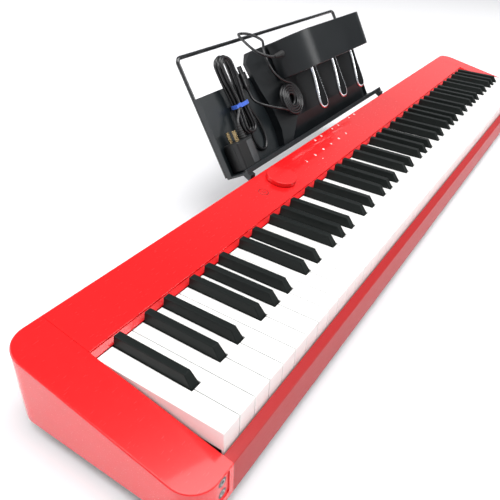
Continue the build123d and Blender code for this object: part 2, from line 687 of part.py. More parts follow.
def volume_knob():
    """Flat round volume knob with a waisted foot and its shaft."""
    cap = Cylinder(KNOB_RADIUS, KNOB_HEIGHT - 1.2)
    cap = fillet(cap.edges().sort_by(Axis.Z)[-1:], 0.9)
    cap = Pos(0, 0, KNOB_LIFT + 1.2 + (KNOB_HEIGHT - 1.2) / 2) * cap
    foot = Pos(0, 0, KNOB_LIFT + 0.6) * Cylinder(KNOB_RADIUS - 1.2, 1.2)
    shaft = Pos(0, 0, -4.5) * Cylinder(SHAFT_RADIUS, 11)
    return on_panel(KNOB_X, KNOB_SET_BACK) * (cap + foot + shaft)


def power_button():
    """Round push button with its stem, flush with the panel."""
    cap = Cylinder(BUTTON_RADIUS, 3.4)
    cap = fillet(cap.edges().sort_by(Axis.Z)[-1:], 0.5)
    cap = Pos(0, 0, -1.4) * cap
    stem = Pos(0, 0, -4.6) * Cylinder(1.6, 3.2)
    return on_panel(BUTTON_X, BUTTON_SET_BACK) * (cap + stem)


def power_switch():
    """Small switch under the power button, clear of the stem over its travel."""
    top = -6.2 - BUTTON_TRAVEL - 0.2
    return on_panel(BUTTON_X, BUTTON_SET_BACK, top - 2) * Box(12, 12, 4)


# Music rest, in its own frame


def on_rest(shape):
    """Moves a shape from the rest's frame into the case frame."""
    return Pos(0, REST_Y, REST_Z) * Rot(90 - REST_LEAN, 0, 0) * shape


def rest_plate():
    """Sheet rest: leaning plate, forward ledge with an upturned lip, and a flange down each side."""
    half = REST_WIDTH / 2
    plate = block(-half, half, -REST_PLATE, REST_HEIGHT, -REST_PLATE, 0)
    plate += block(-half, half, -REST_PLATE, 0, -REST_PLATE, REST_LEDGE)
    plate += block(-half, half, -REST_PLATE, REST_LIP, REST_LEDGE - REST_PLATE, REST_LEDGE)
    for side in (-1, 1):
        outer = side * half
        inner = side * (half - 2)
        plate += block(min(outer, inner), max(outer, inner), -REST_PLATE, REST_HEIGHT, -REST_PLATE, REST_FLANGE)
    return fillet(plate.edges().filter_by(Axis.X), 0.6)


def rest_wire():
    """Bent wire hoop that stands above the plate and runs down behind it."""
    x = REST_WIDTH / 2 - WIRE_INSET
    w = -REST_PLATE - WIRE_RADIUS - 0.05
    points = [(-x, 0, w), (-x, WIRE_TOP, w), (x, WIRE_TOP, w), (x, 0, w)]
    path = FilletPolyline(*points, radius=WIRE_CORNER)
    section = Plane(origin=points[0], z_dir=(0, 1, 0)) * Circle(WIRE_RADIUS)
    return sweep(section, path=path)


def rest_leg(x):
    """Bracket under the ledge whose upright blade drops into a socket in the back wall."""
    lean = radians(REST_LEAN)
    reach = REST_LEDGE
    front_y = REST_Y - reach * cos(lean) - REST_PLATE * sin(lean)
    front_z = REST_Z + reach * sin(lean) - REST_PLATE * cos(lean)
    rear_y = LEG_FRONT_Y + LEG_THICKNESS + 9
    slope = tan(lean)
    rear_z = front_z - (rear_y - front_y) * slope
    blade_rear = LEG_FRONT_Y + LEG_THICKNESS
    outline = [(LEG_FRONT_Y, LEG_BOTTOM), (blade_rear, LEG_BOTTOM), (blade_rear, rear_z - 5), (rear_y, rear_z)]
    outline += [(front_y, front_z), (LEG_FRONT_Y, front_z - 1.5)]
    return side_prism(outline, x - LEG_WIDTH / 2, x + LEG_WIDTH / 2)


# Pedal unit, in the rest's frame


def mirrored_face(points, level):
    """Closed face of (u, v) points and their mirror images about the unit's middle."""
    half = [(UNIT_U + u, v, level) for u, v in points]
    other = [(UNIT_U - u, v, level) for u, v in reversed(points)]
    return make_face(Polyline(*half, *other, close=True))


def pedal_base():
    """Flat base with swept-in sides that slope up to a flat top, and four axle blocks."""
    plan = [(BASE_HALF - 10, UNIT_GAP), (BASE_HALF - 15, 25), (BASE_HALF - 14, 55), (BASE_HALF - 6, 95)]
    plan += [(BASE_HALF, BASE_LENGTH - 14), (BASE_HALF - 12, BASE_LENGTH)]
    slab = extrude(mirrored_face(plan, UNIT_GAP), amount=BASE_TOP - UNIT_GAP, dir=(0, 0, 1))
    flank = BASE_HALF - 46
    profile = [(UNIT_U - BASE_HALF, UNIT_GAP), (UNIT_U - BASE_HALF, BASE_EDGE), (UNIT_U - flank, BASE_TOP)]
    profile += [(UNIT_U + flank, BASE_TOP), (UNIT_U + BASE_HALF, BASE_EDGE), (UNIT_U + BASE_HALF, UNIT_GAP)]
    hull = front_prism(profile, 0, BASE_LENGTH)
    nose = side_prism([(0, 0), (0, 20), (34, BASE_TOP), (34, 60), (BASE_LENGTH, 60), (BASE_LENGTH, 0)], -200, 300)
    body = slab & hull & nose
    for u in axle_block_places():
        block_top = PEDAL_PIVOT_W + 8
        post = block(u - 4, u + 4, PEDAL_PIVOT_V - 8, PEDAL_PIVOT_V + 8, BASE_TOP - 1, block_top)
        body += post - Pos(u, PEDAL_PIVOT_V, PEDAL_PIVOT_W) * Rot(0, 90, 0) * Cylinder(AXLE_RADIUS, 20)
    return body


def axle_block_places():
    """Blocks on both sides of each pedal."""
    return [UNIT_U + (i - 1.5) * PEDAL_PITCH for i in range(4)]


def pedal_axle():
    """Rod through the blocks and the three pedals."""
    return Pos(UNIT_U, PEDAL_PIVOT_V, PEDAL_PIVOT_W) * Rot(0, 90, 0) * Cylinder(AXLE_RADIUS, 3 * PEDAL_PITCH + 16)


def pedal_housing():
    """Hollow cover over the pedals' pivot, rounded over at both ends, with a slot for each pedal."""
    u0 = UNIT_U - HOUSING_HALF
    u1 = UNIT_U + HOUSING_HALF
    wall = HOUSING_WALL
    rear = BASE_LENGTH - 1
    outer = block(u0, u1, HOUSING_FRONT, rear, BASE_TOP, HOUSING_TOP)
    ends = outer.edges().filter_by(Axis.Y).sort_by(Axis.Z)[-2:]
    outer = fillet(ends, HOUSING_ROUND)
    inner = block(u0 + wall, u1 - wall, HOUSING_FRONT + wall, rear - wall, BASE_TOP - 1, HOUSING_TOP - wall)
    inner = fillet(inner.edges().filter_by(Axis.Y).sort_by(Axis.Z)[-2:], HOUSING_ROUND - wall)
    body = outer - inner
    body = fillet(body.edges().filter_by(lambda e: e.center().Z > HOUSING_TOP - 0.1 and e.length > 100), 1.2)
    for u in pedal_places():
        wide = PEDAL_NECK_RADIUS + PEDAL_SLOT_GAP
        slot_rear = HOUSING_FRONT + wall + 1
        body -= block(u - wide, u + wide, HOUSING_FRONT - 1, slot_rear, PEDAL_SLOT_LOW, PEDAL_SLOT_HIGH)
    hole = Pos(u0, GLAND_V, GLAND_W) * Rot(0, 90, 0) * Cylinder(GLAND_RADIUS, 4 * wall)
    return body - hole


def pedal_places():
    """Middles of the three pedals."""
    return [UNIT_U + i * PEDAL_PITCH for i in (-1, 0, 1)]


def pedal(u):
    """Chrome pedal: a round head drawn into a narrow neck, and a root with the axle's bore."""
    head = Pos(0, PEDAL_TIP + PEDAL_HEAD_RADIUS - PEDAL_PIVOT_V) * Circle(PEDAL_HEAD_RADIUS)
    neck = Pos(0, HOUSING_FRONT - 12 - PEDAL_PIVOT_V) * Circle(PEDAL_NECK_RADIUS)
    outline = make_hull(head.edges() + neck.edges())
    body = extrude(outline, amount=PEDAL_THICKNESS)
    body += block(-PEDAL_NECK_RADIUS, PEDAL_NECK_RADIUS, neck.center().Y, 9, 0, PEDAL_THICKNESS)
    top = body.faces().sort_by(Axis.Z)[-1]
    body = fillet(top.edges(), 2.2)
    body = Pos(0, 0, -PEDAL_THICKNESS / 2 + 1) * body
    body += Rot(0, 90, 0) * Cylinder(6.5, 2 * PEDAL_NECK_RADIUS)
    body -= Rot(0, 90, 0) * Cylinder(AXLE_RADIUS + AXLE_FIT, 60)
    return Pos(u, PEDAL_PIVOT_V, PEDAL_PIVOT_W) * Rot(PEDAL_SLOPE - 2.5, 0, 0) * body


def pedal_gland():
    """Strain relief where the pedal lead leaves the housing."""
    u0 = UNIT_U - HOUSING_HALF
    start = PEDAL_LEAD_ROUTE[0][0]
    sleeve = Pos((u0 + 5 + start) / 2, GLAND_V, GLAND_W) * Rot(0, 90, 0) * Cylinder(GLAND_RADIUS, u0 + 5 - start)
    return sleeve


def pedal_plug():
    """Plug on the far end of the pedal lead."""
    u, v, w = PEDAL_TAIL_ROUTE[-1]
    grip = Pos(u, v + PLUG_LENGTH / 2, w) * Box(13, PLUG_LENGTH, 8)
    grip = fillet(grip.edges().filter_by(Axis.Y), 2)
    return grip + Pos(u, v + PLUG_LENGTH + 5, w) * Box(8, 10, 4)


# Adapter and leads, in the rest's frame


def adapter_body():
    """Small plug-top power adapter standing on the ledge."""
    body = Pos(*ADAPTER_AT) * Box(*ADAPTER_BOX)
    body = fillet(body.edges(), 2.5)
    u, v, w = ADAPTER_LEAD_ROUTE[0]
    top = ADAPTER_AT[1] + ADAPTER_BOX[1] / 2
    relief = Pos(u, (top - 1 + v) / 2, w) * Rot(90, 0, 0) * Cylinder(4.0, v - top + 1)
    return body + relief


def adapter_blades():
    """Two brass blades on top of the adapter."""
    top = ADAPTER_AT[1] + ADAPTER_BOX[1] / 2
    u = ADAPTER_AT[0] - 6
    return [Pos(u, top + BLADE_SIZE[1] / 2, w) * Box(*BLADE_SIZE) for w in (10.0, 22.7)]


def hank():
    """Outer shape of the adapter lead's tied hank."""
    u, v, w, half_length, half_width, thickness = HANK
    outline = Pos(u, v, w - thickness / 2) * Rot(0, 0, 90) * SlotOverall(2 * half_length, 2 * half_width)
    return extrude(outline, amount=thickness, dir=(0, 0, 1))


def cable_tie():
    """Band round the hank, a little clear of it."""
    u, v, w, half_length, half_width, thickness = HANK
    outer = Pos(u, TIE_V, w) * Box(2 * half_width + 3, TIE_WIDTH, thickness + 3)
    inner = Pos(u, TIE_V, w) * Box(2 * half_width + 0.2, TIE_WIDTH + 2, thickness + 0.2)
    return fillet(outer.edges().filter_by(Axis.Y), 3) - inner


def pedal_coil():
    """Outer shape of the pedal lead's coil on the base."""
    u, v, w, radius, thickness = PEDAL_COIL
    disc = Pos(u, v, w) * Cylinder(radius, thickness)
    return disc - Pos(u, v, w) * Cylinder(radius - 15, 2 * thickness)


def adapter_plug():
    """Moulded grip and ribbed relief of the adapter lead's plug."""
    u, v, w = ADAPTER_TAIL_ROUTE[-1]
    relief = Pos(u, v + 8, w) * Rot(90, 0, 0) * Cylinder(3.6, 16)
    grip = Pos(u, v + 16 + 13, w) * Box(15, 26, 8.5)
    return relief + fillet(grip.edges().filter_by(Axis.Y), 2.5)


def adapter_plug_tip():
    """Flat metal tip of the adapter lead's plug."""
    u, v, w = ADAPTER_TAIL_ROUTE[-1]
    tip = Pos(u, v + 42 + 9, w) * Box(12, 18, 4.5)
    return tip - Pos(u, v + 42 + 11, w + 0.6) * Box(10.8, 15, 1.6)


def case_nodes():
    """Nodes drawn in the case frame."""
    shell = rounded_case()
    return {
        "lower_case": [lower_case()],
        "left_cheek": [cheek(shell, -1)],
        "right_cheek": [cheek(shell, 1)],
        "front_rail": [front_rail(shell)],
        "top_panel": [top_panel(shell)],
        "fallboard_strip": [fallboard_strip()],
        "rear_panel": [rear_panel()],
        "rear_sockets": rear_sockets(),
        "keybed_chassis": [keybed_chassis()],
        "key_pivot_shaft": [pivot_shaft()],
        "key_stop_felts": key_felts(),
        "key_contact_board": contact_board(),
        "main_board": [main_board()],
        "left_speaker": [speaker(SPEAKER_PLACES[0])],
        "right_speaker": [speaker(SPEAKER_PLACES[1])],
        "panel_board": [panel_board(), power_switch()],
        "volume_encoder": [volume_encoder()],
        "volume_knob": [volume_knob()],
        "power_button": [power_button()],
        "headphone_jacks": headphone_jacks(),
        "case_screws": case_screws(),
        "rubber_feet": rubber_feet(),
        "rest_legs": [rest_leg(-LEG_X), rest_leg(LEG_X)],
    }


def rest_nodes():
    """Nodes drawn in the rest's frame."""
    left, centre, right = pedal_places()
    return {
        "rest_plate": [rest_plate()],
        "rest_wire": [rest_wire()],
        "pedal_base": [pedal_base()],
        "pedal_housing": [pedal_housing()],
        "pedal_axle": [pedal_axle()],
        "pedal_left": [pedal(left)],
        "pedal_centre": [pedal(centre)],
        "pedal_right": [pedal(right)],
        "pedal_gland": [pedal_gland()],
        "pedal_lead": [tube(PEDAL_LEAD_ROUTE, PEDAL_LEAD_DIAMETER / 2)],
        "pedal_lead_coil": [pedal_coil()],
        "pedal_lead_tail": [tube(PEDAL_TAIL_ROUTE, PEDAL_LEAD_DIAMETER / 2)],
        "pedal_plug": [pedal_plug()],
        "adapter_body": [adapter_body()],
        "adapter_blades": adapter_blades(),
        "adapter_lead": [tube(ADAPTER_LEAD_ROUTE, ADAPTER_LEAD_DIAMETER / 2)],
        "adapter_lead_hank": [hank()],
        "adapter_lead_tail": [tube(ADAPTER_TAIL_ROUTE, ADAPTER_LEAD_DIAMETER / 2)],
        "adapter_plug": [adapter_plug()],
        "adapter_plug_tip": [adapter_plug_tip()],
        "cable_tie": [cable_tie()],
    }


def main():
    nodes = {**case_nodes(), **key_nodes()}
    nodes.update({name: [on_rest(s) for s in solids] for name, solids in rest_nodes().items()})
    front = nodes["front_rail"][0].bounding_box().min.Y
    rear = nodes["rest_wire"][0].bounding_box().max.Y
    middle = (front + rear) / 2
    print("case frame moved by", round(-middle, 3))
    os.makedirs("parts", exist_ok=True)
    for name, solids in nodes.items():
        moved = [Pos(0, -middle, 0) * s for s in solids]
        export_step(Compound(children=moved), os.path.join("parts", f"{name}.step"))
    print(len(nodes), "nodes")


main()
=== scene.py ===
"""Looks of the slab digital piano with its music rest, pedal unit, adapter and their leads.

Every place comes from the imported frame. Points on the music rest are given as (u, v, w) in metres:
u along the keyboard, v up the leaning plate and w out of it. Points on the control panel are given
as x, the set-back from the panel's front edge and the rise above its face.
"""

import json
from functools import cache
from math import cos, pi, radians, sin

import bmesh
import bpy
import numpy as np
from mathutils import Matrix, Vector


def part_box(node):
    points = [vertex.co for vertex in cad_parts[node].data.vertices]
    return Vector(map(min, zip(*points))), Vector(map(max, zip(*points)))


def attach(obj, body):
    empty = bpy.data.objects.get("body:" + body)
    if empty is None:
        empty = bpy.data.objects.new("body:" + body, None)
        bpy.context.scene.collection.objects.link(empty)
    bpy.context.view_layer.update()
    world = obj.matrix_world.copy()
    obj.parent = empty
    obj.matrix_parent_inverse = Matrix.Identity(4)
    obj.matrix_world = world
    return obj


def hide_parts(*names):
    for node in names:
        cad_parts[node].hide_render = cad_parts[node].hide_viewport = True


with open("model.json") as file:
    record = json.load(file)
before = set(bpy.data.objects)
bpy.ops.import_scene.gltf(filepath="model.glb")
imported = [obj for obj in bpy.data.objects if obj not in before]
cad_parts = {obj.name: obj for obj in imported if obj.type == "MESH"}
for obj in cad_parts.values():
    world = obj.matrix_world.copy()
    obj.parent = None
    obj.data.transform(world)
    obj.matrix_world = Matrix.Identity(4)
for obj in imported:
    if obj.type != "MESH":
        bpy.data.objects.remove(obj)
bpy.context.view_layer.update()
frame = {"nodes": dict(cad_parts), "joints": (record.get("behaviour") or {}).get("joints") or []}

bl_info = {
    "name": "Slab Piano Looks",
    "version": (1, 0, 0),
    "blender": (4, 5, 0),
    "location": "View3D > Sidebar > Piano",
    "description": "Leads, chrome pedals, panel marks and finishes for a slab digital piano",
    "category": "Object",
}

MM = 0.001

JOINTS = {joint["name"]: joint for joint in frame["joints"]}

# The music rest's own axes and its corner, found from the centre pedal's pivot at (0.054, 0.128, 0.062)
REST_LEAN = radians(30)
ACROSS = np.array([1.0, 0.0, 0.0])
UP_PLATE = np.array([0.0, sin(REST_LEAN), cos(REST_LEAN)])
OUT_OF_PLATE = np.array([0.0, -cos(REST_LEAN), sin(REST_LEAN)])
PEDAL_PIVOT = np.array(JOINTS["pedal_centre_press"]["pos_m"])
PIVOT_V = 0.128
PIVOT_W = 0.062
REST_CORNER = PEDAL_PIVOT * (0, 1, 1) - PIVOT_V * UP_PLATE - PIVOT_W * OUT_OF_PLATE
UNIT_U = PEDAL_PIVOT[0]
PEDAL_PITCH = JOINTS["pedal_right_press"]["pos_m"][0] - PEDAL_PIVOT[0]

# The control panel's axes, found from the volume knob's joint
KNOB_PLACE = np.array(JOINTS["volume_knob_turn"]["pos_m"])
PANEL_NORMAL = np.array(JOINTS["volume_knob_turn"]["axis"])
PANEL_BACK = np.cross(PANEL_NORMAL, ACROSS)
KNOB_SET_BACK = 0.034
BUTTON_X = -0.266
BUTTON_SET_BACK = 0.033


# ---------------------------------------------------------------- sizes and colours


class PianoSizes(bpy.types.PropertyGroup):
    """Sizes of the leads and of the small pieces."""

    pedal_lead: bpy.props.FloatProperty(
        name="Pedal lead", description="Diameter of the pedal unit's lead", default=0.0042, unit="LENGTH"
    )
    adapter_lead: bpy.props.FloatProperty(
        name="Adapter lead", description="Diameter of the adapter's lead", default=0.0046, unit="LENGTH"
    )
    coil_turns: bpy.props.FloatProperty(
        name="Coil turns", description="Turns of the pedal lead's coil, both layers", default=8.6
    )
    hank_turns: bpy.props.IntProperty(
        name="Hank turns", description="Whole turns of the adapter lead's hank", default=4
    )
    mark_rise: bpy.props.FloatProperty(
        name="Mark rise", description="Thickness of a printed mark", default=0.00008, unit="LENGTH"
    )
    strip_rise: bpy.props.FloatProperty(
        name="Strip rise", description="Height of the ledge's grip strips", default=0.0009, unit="LENGTH"
    )


def colour(name, description, default):
    """A colour property for the sidebar."""
    return bpy.props.FloatVectorProperty(
        name=name, description=description, default=default, subtype="COLOR", size=3, min=0, max=1
    )


class PianoColours(bpy.types.PropertyGroup):
    """Base colours of the finishes, in linear light."""

    lacquer: colour("Lacquer", "Glossy red of the case", (0.80, 0.012, 0.014))
    # Front rail red: the case's red made darker, which is painted shade and not a different paint
    front_red_painted_shade: colour("Front lacquer", "Red of the front rail", (0.42, 0.010, 0.012))
    white_key: colour("White keys", "Ivory-textured plastic of the white keys", (0.90, 0.895, 0.88))
    black_key: colour("Black keys", "Satin plastic of the black keys", (0.006, 0.008, 0.0075))
    case: colour("Lower case", "Moulded plastic of the lower case", (0.015, 0.015, 0.016))
    rest: colour("Music rest", "Powder coat of the music rest", (0.008, 0.0115, 0.0135))
    pedal_unit: colour("Pedal unit", "Moulded plastic of the pedal unit", (0.005, 0.007, 0.0085))
    cord: colour("Leads", "Flexible plastic of the leads", (0.007, 0.007, 0.008))
    tie: colour("Cable tie", "Woven band round the hank", (0.03, 0.12, 0.62))


class PianoStudio(bpy.types.PropertyGroup):
    """Lights and floor of the studio."""

    top_light: bpy.props.FloatProperty(
        name="Top light", description="Power of the large soft light overhead", default=104.0, subtype="POWER"
    )
    window_light: bpy.props.FloatProperty(
        name="Window light",
        description="Power of the soft light on the treble side",
        default=26.0,
        subtype="POWER",
    )
    wall_light: bpy.props.FloatProperty(
        name="Wall light",
        description="Power of the soft light over the floor behind",
        default=130.0,
        subtype="POWER",
    )
    surroundings: bpy.props.FloatProperty(
        name="Surroundings", description="Brightness of the pale walls", default=0.58
    )


def sizes():
    return bpy.context.scene.piano_sizes


def colours():
    return bpy.context.scene.piano_colours


# ---------------------------------------------------------------- shader expressions


class Value:
    """A shader socket that can be used in arithmetic: each operator adds one Math node."""

    def __init__(self, finish, socket):
        self.finish = finish
        self.socket = socket

    def math(self, operation, *terms):
        inputs = dict(enumerate(terms))
        return self.finish.node("ShaderNodeMath", {"operation": operation}, inputs)

    def __add__(self, other):
        return self.math("ADD", self, other)

    __radd__ = __add__

    def __mul__(self, other):
        return self.math("MULTIPLY", self, other)

    __rmul__ = __mul__

    def __sub__(self, other):
        return self.math("SUBTRACT", self, other)

    def __rsub__(self, other):
        return self.math("SUBTRACT", other, self)

    def clamped(self):
        return self.math("MINIMUM", self.math("MAXIMUM", self, 0.0), 1.0)


class Nodes:
    """A node tree being filled: one method adds a node of any kind."""

    def __init__(self, tree):
        self.tree = tree

    def node(self, kind, settings=None, inputs=None, output=0):
        """Adds a node of any kind: settings first, then each input's value or link."""
        made = self.tree.nodes.new(kind)
        for setting, value in (settings or {}).items():
            setattr(made, setting, value)
        for socket, value in (inputs or {}).items():
            if isinstance(value, Value):
                self.tree.links.new(value.socket, made.inputs[socket])
            else:
                made.inputs[socket].default_value = value
        return Value(self, made.outputs[output])


class Finish(Nodes):
    """A material being made: its shader, whose constants are set at once, and the nodes behind it."""

    def __init__(self, name, constants):
        self.material = bpy.data.materials.new(name)
        self.material.use_nodes = True
        super().__init__(self.material.node_tree)
        self.shader = self.tree.nodes["Principled BSDF"]
        for socket, value in constants.items():
            self.shader.inputs[socket].default_value = value

    def place(self, scale=(1, 1, 1), turn=(0, 0, 0)):
        """The point on the object, in metres, stretched and turned by a Mapping node."""
        where = self.node("ShaderNodeTexCoord", output="Object")
        return self.node("ShaderNodeMapping", {}, {"Vector": where, "Scale": scale, "Rotation": turn})

    def noise(self, grain, detail=2.0, roughness=0.5, where=None):
        """Noise from 0 to 1 whose features are about grain metres wide."""
        inputs = {"Vector": where or self.place(), "Scale": 1 / grain}
        inputs |= {"Detail": detail, "Roughness": roughness}
        return self.node("ShaderNodeTexNoise", {}, inputs)

    def cells(self, grain):
        """Distance to the nearest of points that lie about grain metres apart."""
        inputs = {"Vector": self.place(), "Scale": 1 / grain}
        return self.node("ShaderNodeTexVoronoi", {}, inputs, output="Distance")

    def waves(self, pitch, direction):
        """Bands along one axis, pitch metres apart: the node's bands lie pi / 10 over its scale apart."""
        inputs = {"Vector": self.place(), "Scale": 1 / (pitch * 20) * 2 * pi}
        settings = {"wave_type": "BANDS", "bands_direction": direction}
        return self.node("ShaderNodeTexWave", settings, inputs, output="Fac")

    def stepped(self, value, low, high, start=0.0, end=1.0):
        """value's stretch from low to high, spread to start and end and held beyond them."""
        inputs = {0: value, 1: low, 2: high, 3: start, 4: end}
        return self.node("ShaderNodeMapRange", {}, inputs)

    def mixed(self, factor, first, second):
        """One colour passing to another as factor goes from 0 to 1."""
        inputs = {0: factor, 6: (*first, 1), 7: (*second, 1)}
        return self.node("ShaderNodeMix", {"data_type": "RGBA"}, inputs, output=2)

    def bumped(self, height, depth, strength=1.0):
        """A surface raised by height times depth metres."""
        inputs = {"Height": height, "Distance": depth, "Strength": strength}
        return self.node("ShaderNodeBump", {}, inputs)

    def join(self, links):
        """Leads each value into the shader's socket of that name, and gives the material."""
        for socket, value in links.items():
            self.tree.links.new(value.socket, self.shader.inputs[socket])
        return self.material


def tinted(base, factor):
    """A colour made darker or lighter by a factor."""
    return tuple(min(1.0, channel * factor) for channel in base)


# ---------------------------------------------------------------- finishes


def lacquer(name, base, roughness, coat):
    """Sprayed gloss: slow colour drift, orange peel a few millimetres wide, and thin wiped dust."""
    finish = Finish(name, {"Coat Roughness": 0.05, "Coat IOR": 1.45, "IOR": 1.42, "Coat Weight": coat})
    drift = finish.noise(0.16, 2.0)
    peel = finish.noise(0.0035, 2.0)
    wipes = finish.noise(0.01, 3.0, 0.6, finish.place((1.0, 7.0, 7.0)))
    specks = finish.stepped(finish.cells(0.006), 0.02, 0.05, 0.08, 0.0)
    tone = (drift * 0.85 + specks).clamped()
    return finish.join(
        {
            "Base Color": finish.mixed(tone, tinted(base, 0.94), tinted(base, 1.08)),
            "Roughness": finish.stepped(wipes, 0.3, 0.7, roughness, roughness + 0.08) + specks,
            "Normal": finish.bumped(peel, 0.00002, 0.5),
        }
    )


@cache
def red_lacquer():
    return lacquer("red_lacquer", colours().lacquer, 0.2, 0.45)


# Front rail lacquer: its darker base colour is painted shade
@cache
def front_lacquer_painted_shade():
    return lacquer("front_lacquer_painted_shade", colours().front_red_painted_shade, 0.42, 0.06)


@cache
def white_key_plastic():
    """White keys: fine lengthwise grain like ivory, a slightly uneven sheen, and a warm tone in the grain."""
    finish = Finish("white_key_plastic", {"Coat Weight": 0.3, "Coat Roughness": 0.15, "IOR": 1.49})
    grain = finish.noise(0.0006, 3.0, 0.6, finish.place((1.0, 0.12, 1.0)))
    wear = finish.noise(0.03, 3.0)
    base = colours().white_key
    return finish.join(
        {
            "Base Color": finish.mixed(grain * 0.5 + wear * 0.4, tinted(base, 0.97), tinted(base, 1.04)),
            "Roughness": 0.26 + wear * 0.12 + grain * 0.05,
            "Normal": finish.bumped(grain, 0.00003, 0.35),
        }
    )


@cache
def black_key_plastic():
    """Black keys: satin plastic with lengthwise ebony grain and patches that fingers have polished."""
    finish = Finish("black_key_plastic", {"IOR": 1.45, "Specular IOR Level": 0.22})
    grain = finish.noise(0.0007, 3.0, 0.65, finish.place((1.0, 0.08, 1.0)))
    worn = finish.noise(0.02, 3.0)
    base = colours().black_key
    return finish.join(
        {
            "Base Color": finish.mixed(grain, tinted(base, 0.8), tinted(base, 1.7)),
            "Roughness": 0.34 + worn * 0.14 + grain * 0.06,
            "Normal": finish.bumped(grain, 0.00004, 0.4),
        }
    )


def moulded(name, base, roughness, grain, depth):
    """Moulded plastic: a leather-like cell grain, with slow patches of sheen."""
    finish = Finish(name, {"IOR": 1.49})
    cells = finish.cells(grain)
    fine = finish.noise(grain * 0.6, 2.0)
    patches = finish.noise(0.05, 2.0)
    return finish.join(
        {
            "Base Color": finish.mixed(patches * 0.6 + fine * 0.4, tinted(base, 0.85), tinted(base, 1.25)),
            "Roughness": roughness + patches * 0.1 + fine * 0.06,
            "Normal": finish.bumped(cells + fine * 0.5, depth, 0.5),
        }
    )


@cache
def case_plastic():
    return moulded("case_plastic", colours().case, 0.46, 0.0011, 0.00005)


@cache
def pedal_plastic():
    return moulded("pedal_plastic", colours().pedal_unit, 0.3, 0.0008, 0.00002)


@cache
def socket_plastic():
    return moulded("socket_plastic", (0.02, 0.02, 0.022), 0.3, 0.0009, 0.00002)


@cache
def adapter_plastic():
    return moulded("adapter_plastic", (0.006, 0.0065, 0.007), 0.36, 0.0007, 0.00004)


@cache
def rest_coat():
    """Powder coat: close pimples under a satin sheen, with faint handling marks."""
    finish = Finish("rest_coat", {"IOR": 1.5, "Specular IOR Level": 0.6})
    pimples = finish.noise(0.0012, 2.0, 0.55)
    handling = finish.noise(0.045, 4.0, 0.6)
    base = colours().rest
    return finish.join(
        {
            "Base Color": finish.mixed(handling * 0.7 + pimples * 0.3, tinted(base, 0.8), tinted(base, 1.45)),
            "Roughness": 0.3 + handling * 0.16,
            "Normal": finish.bumped(pimples, 0.00006, 0.5),
        }
    )


@cache
def wire_paint():
    """Gloss black enamel on the bent wire, thin enough to show the drawn wire's lines."""
    finish = Finish("wire_paint", {"Coat Weight": 0.6, "Coat Roughness": 0.06, "IOR": 1.5})
    runs = finish.noise(0.004, 2.0)
    lines = finish.noise(0.0008, 2.0, 0.5, finish.place((0.05, 1.0, 1.0)))
    return finish.join(
        {
            "Base Color": finish.mixed(runs, (0.008, 0.009, 0.010), (0.02, 0.022, 0.024)),
            "Roughness": 0.16 + runs * 0.1,
            "Normal": finish.bumped(lines, 0.00002, 0.3),
        }
    )


@cache
def chrome():
    """Polished chrome: near mirror, with breath-like smears and hair scratches along the pedal."""
    finish = Finish("chrome", {"Metallic": 1.0})
    smears = finish.noise(0.02, 3.0, 0.6)
    hairs = finish.noise(0.0004, 2.0, 0.6, finish.place((1.0, 0.04, 0.04)))
    return finish.join(
        {
            "Base Color": finish.mixed(smears, (0.78, 0.80, 0.83), (0.92, 0.93, 0.95)),
            "Roughness": 0.035 + smears * 0.05,
            "Normal": finish.bumped(hairs, 0.000006, 0.25),
        }
    )


def metal(name, dark, light, roughness, grain, stretch):
    """Plated or drawn metal: colour and polish drift together, and a fine directional grain."""
    finish = Finish(name, {"Metallic": 1.0})
    patches = finish.noise(0.008, 3.0, 0.6)
    lines = finish.noise(grain, 2.0, 0.5, finish.place(stretch))
    return finish.join(
        {
            "Base Color": finish.mixed(patches * 0.7 + lines * 0.3, dark, light),
            "Roughness": roughness + patches * 0.14,
            "Normal": finish.bumped(lines, 0.00002, 0.3),
        }
    )


@cache
def zinc():
    return metal("zinc", (0.42, 0.44, 0.45), (0.68, 0.69, 0.70), 0.28, 0.0012, (0.1, 1.0, 1.0))


@cache
def brass():
    return metal("brass", (0.52, 0.36, 0.17), (0.82, 0.64, 0.36), 0.2, 0.0005, (1.0, 0.2, 0.2))


@cache
def nickel():
    return metal("nickel", (0.76, 0.76, 0.75), (0.94, 0.94, 0.93), 0.38, 0.0005, (1.0, 0.2, 0.2))


@cache
def felt():
    """Wool felt: matted fibres that lie every way, with a soft sheen."""
    finish = Finish("felt", {"Roughness": 0.95, "Sheen Weight": 0.4, "Sheen Roughness": 0.5})
    fibres = finish.noise(0.0006, 4.0, 0.7, finish.place((1.0, 0.3, 1.0)))
    lumps = finish.noise(0.004, 2.0)
    return finish.join(
        {
            "Base Color": finish.mixed(fibres, (0.24, 0.012, 0.02), (0.5, 0.05, 0.06)),
            "Normal": finish.bumped(fibres + lumps, 0.0004, 0.7),
        }
    )


@cache
def circuit_board():
    """Circuit board: green resist over straight copper tracks, with round solder pads in rows."""
    finish = Finish("circuit_board", {"IOR": 1.5})
    bricks = {"offset": 0.5, "squash": 1.0}
    where = finish.place()
    inputs = {"Vector": where, "Scale": 120.0, "Mortar Size": 0.035, "Brick Width": 1.4, "Row Height": 0.36}
    tracks = finish.node("ShaderNodeTexBrick", bricks, inputs, output="Fac")
    pads = finish.stepped(finish.cells(0.006), 0.16, 0.2, 1.0, 0.0)
    copper = finish.mixed((tracks * 0.6).clamped(), (0.008, 0.09, 0.03), (0.03, 0.24, 0.08))
    inputs = {0: pads, 6: copper, 7: (0.6, 0.6, 0.58, 1)}
    return finish.join(
        {
            "Base Color": finish.node("ShaderNodeMix", {"data_type": "RGBA"}, inputs, output=2),
            "Roughness": 0.38 - pads * 0.16,
            "Metallic": pads * 0.9,
            "Normal": finish.bumped(tracks + pads, 0.00005, 0.6),
        }
    )


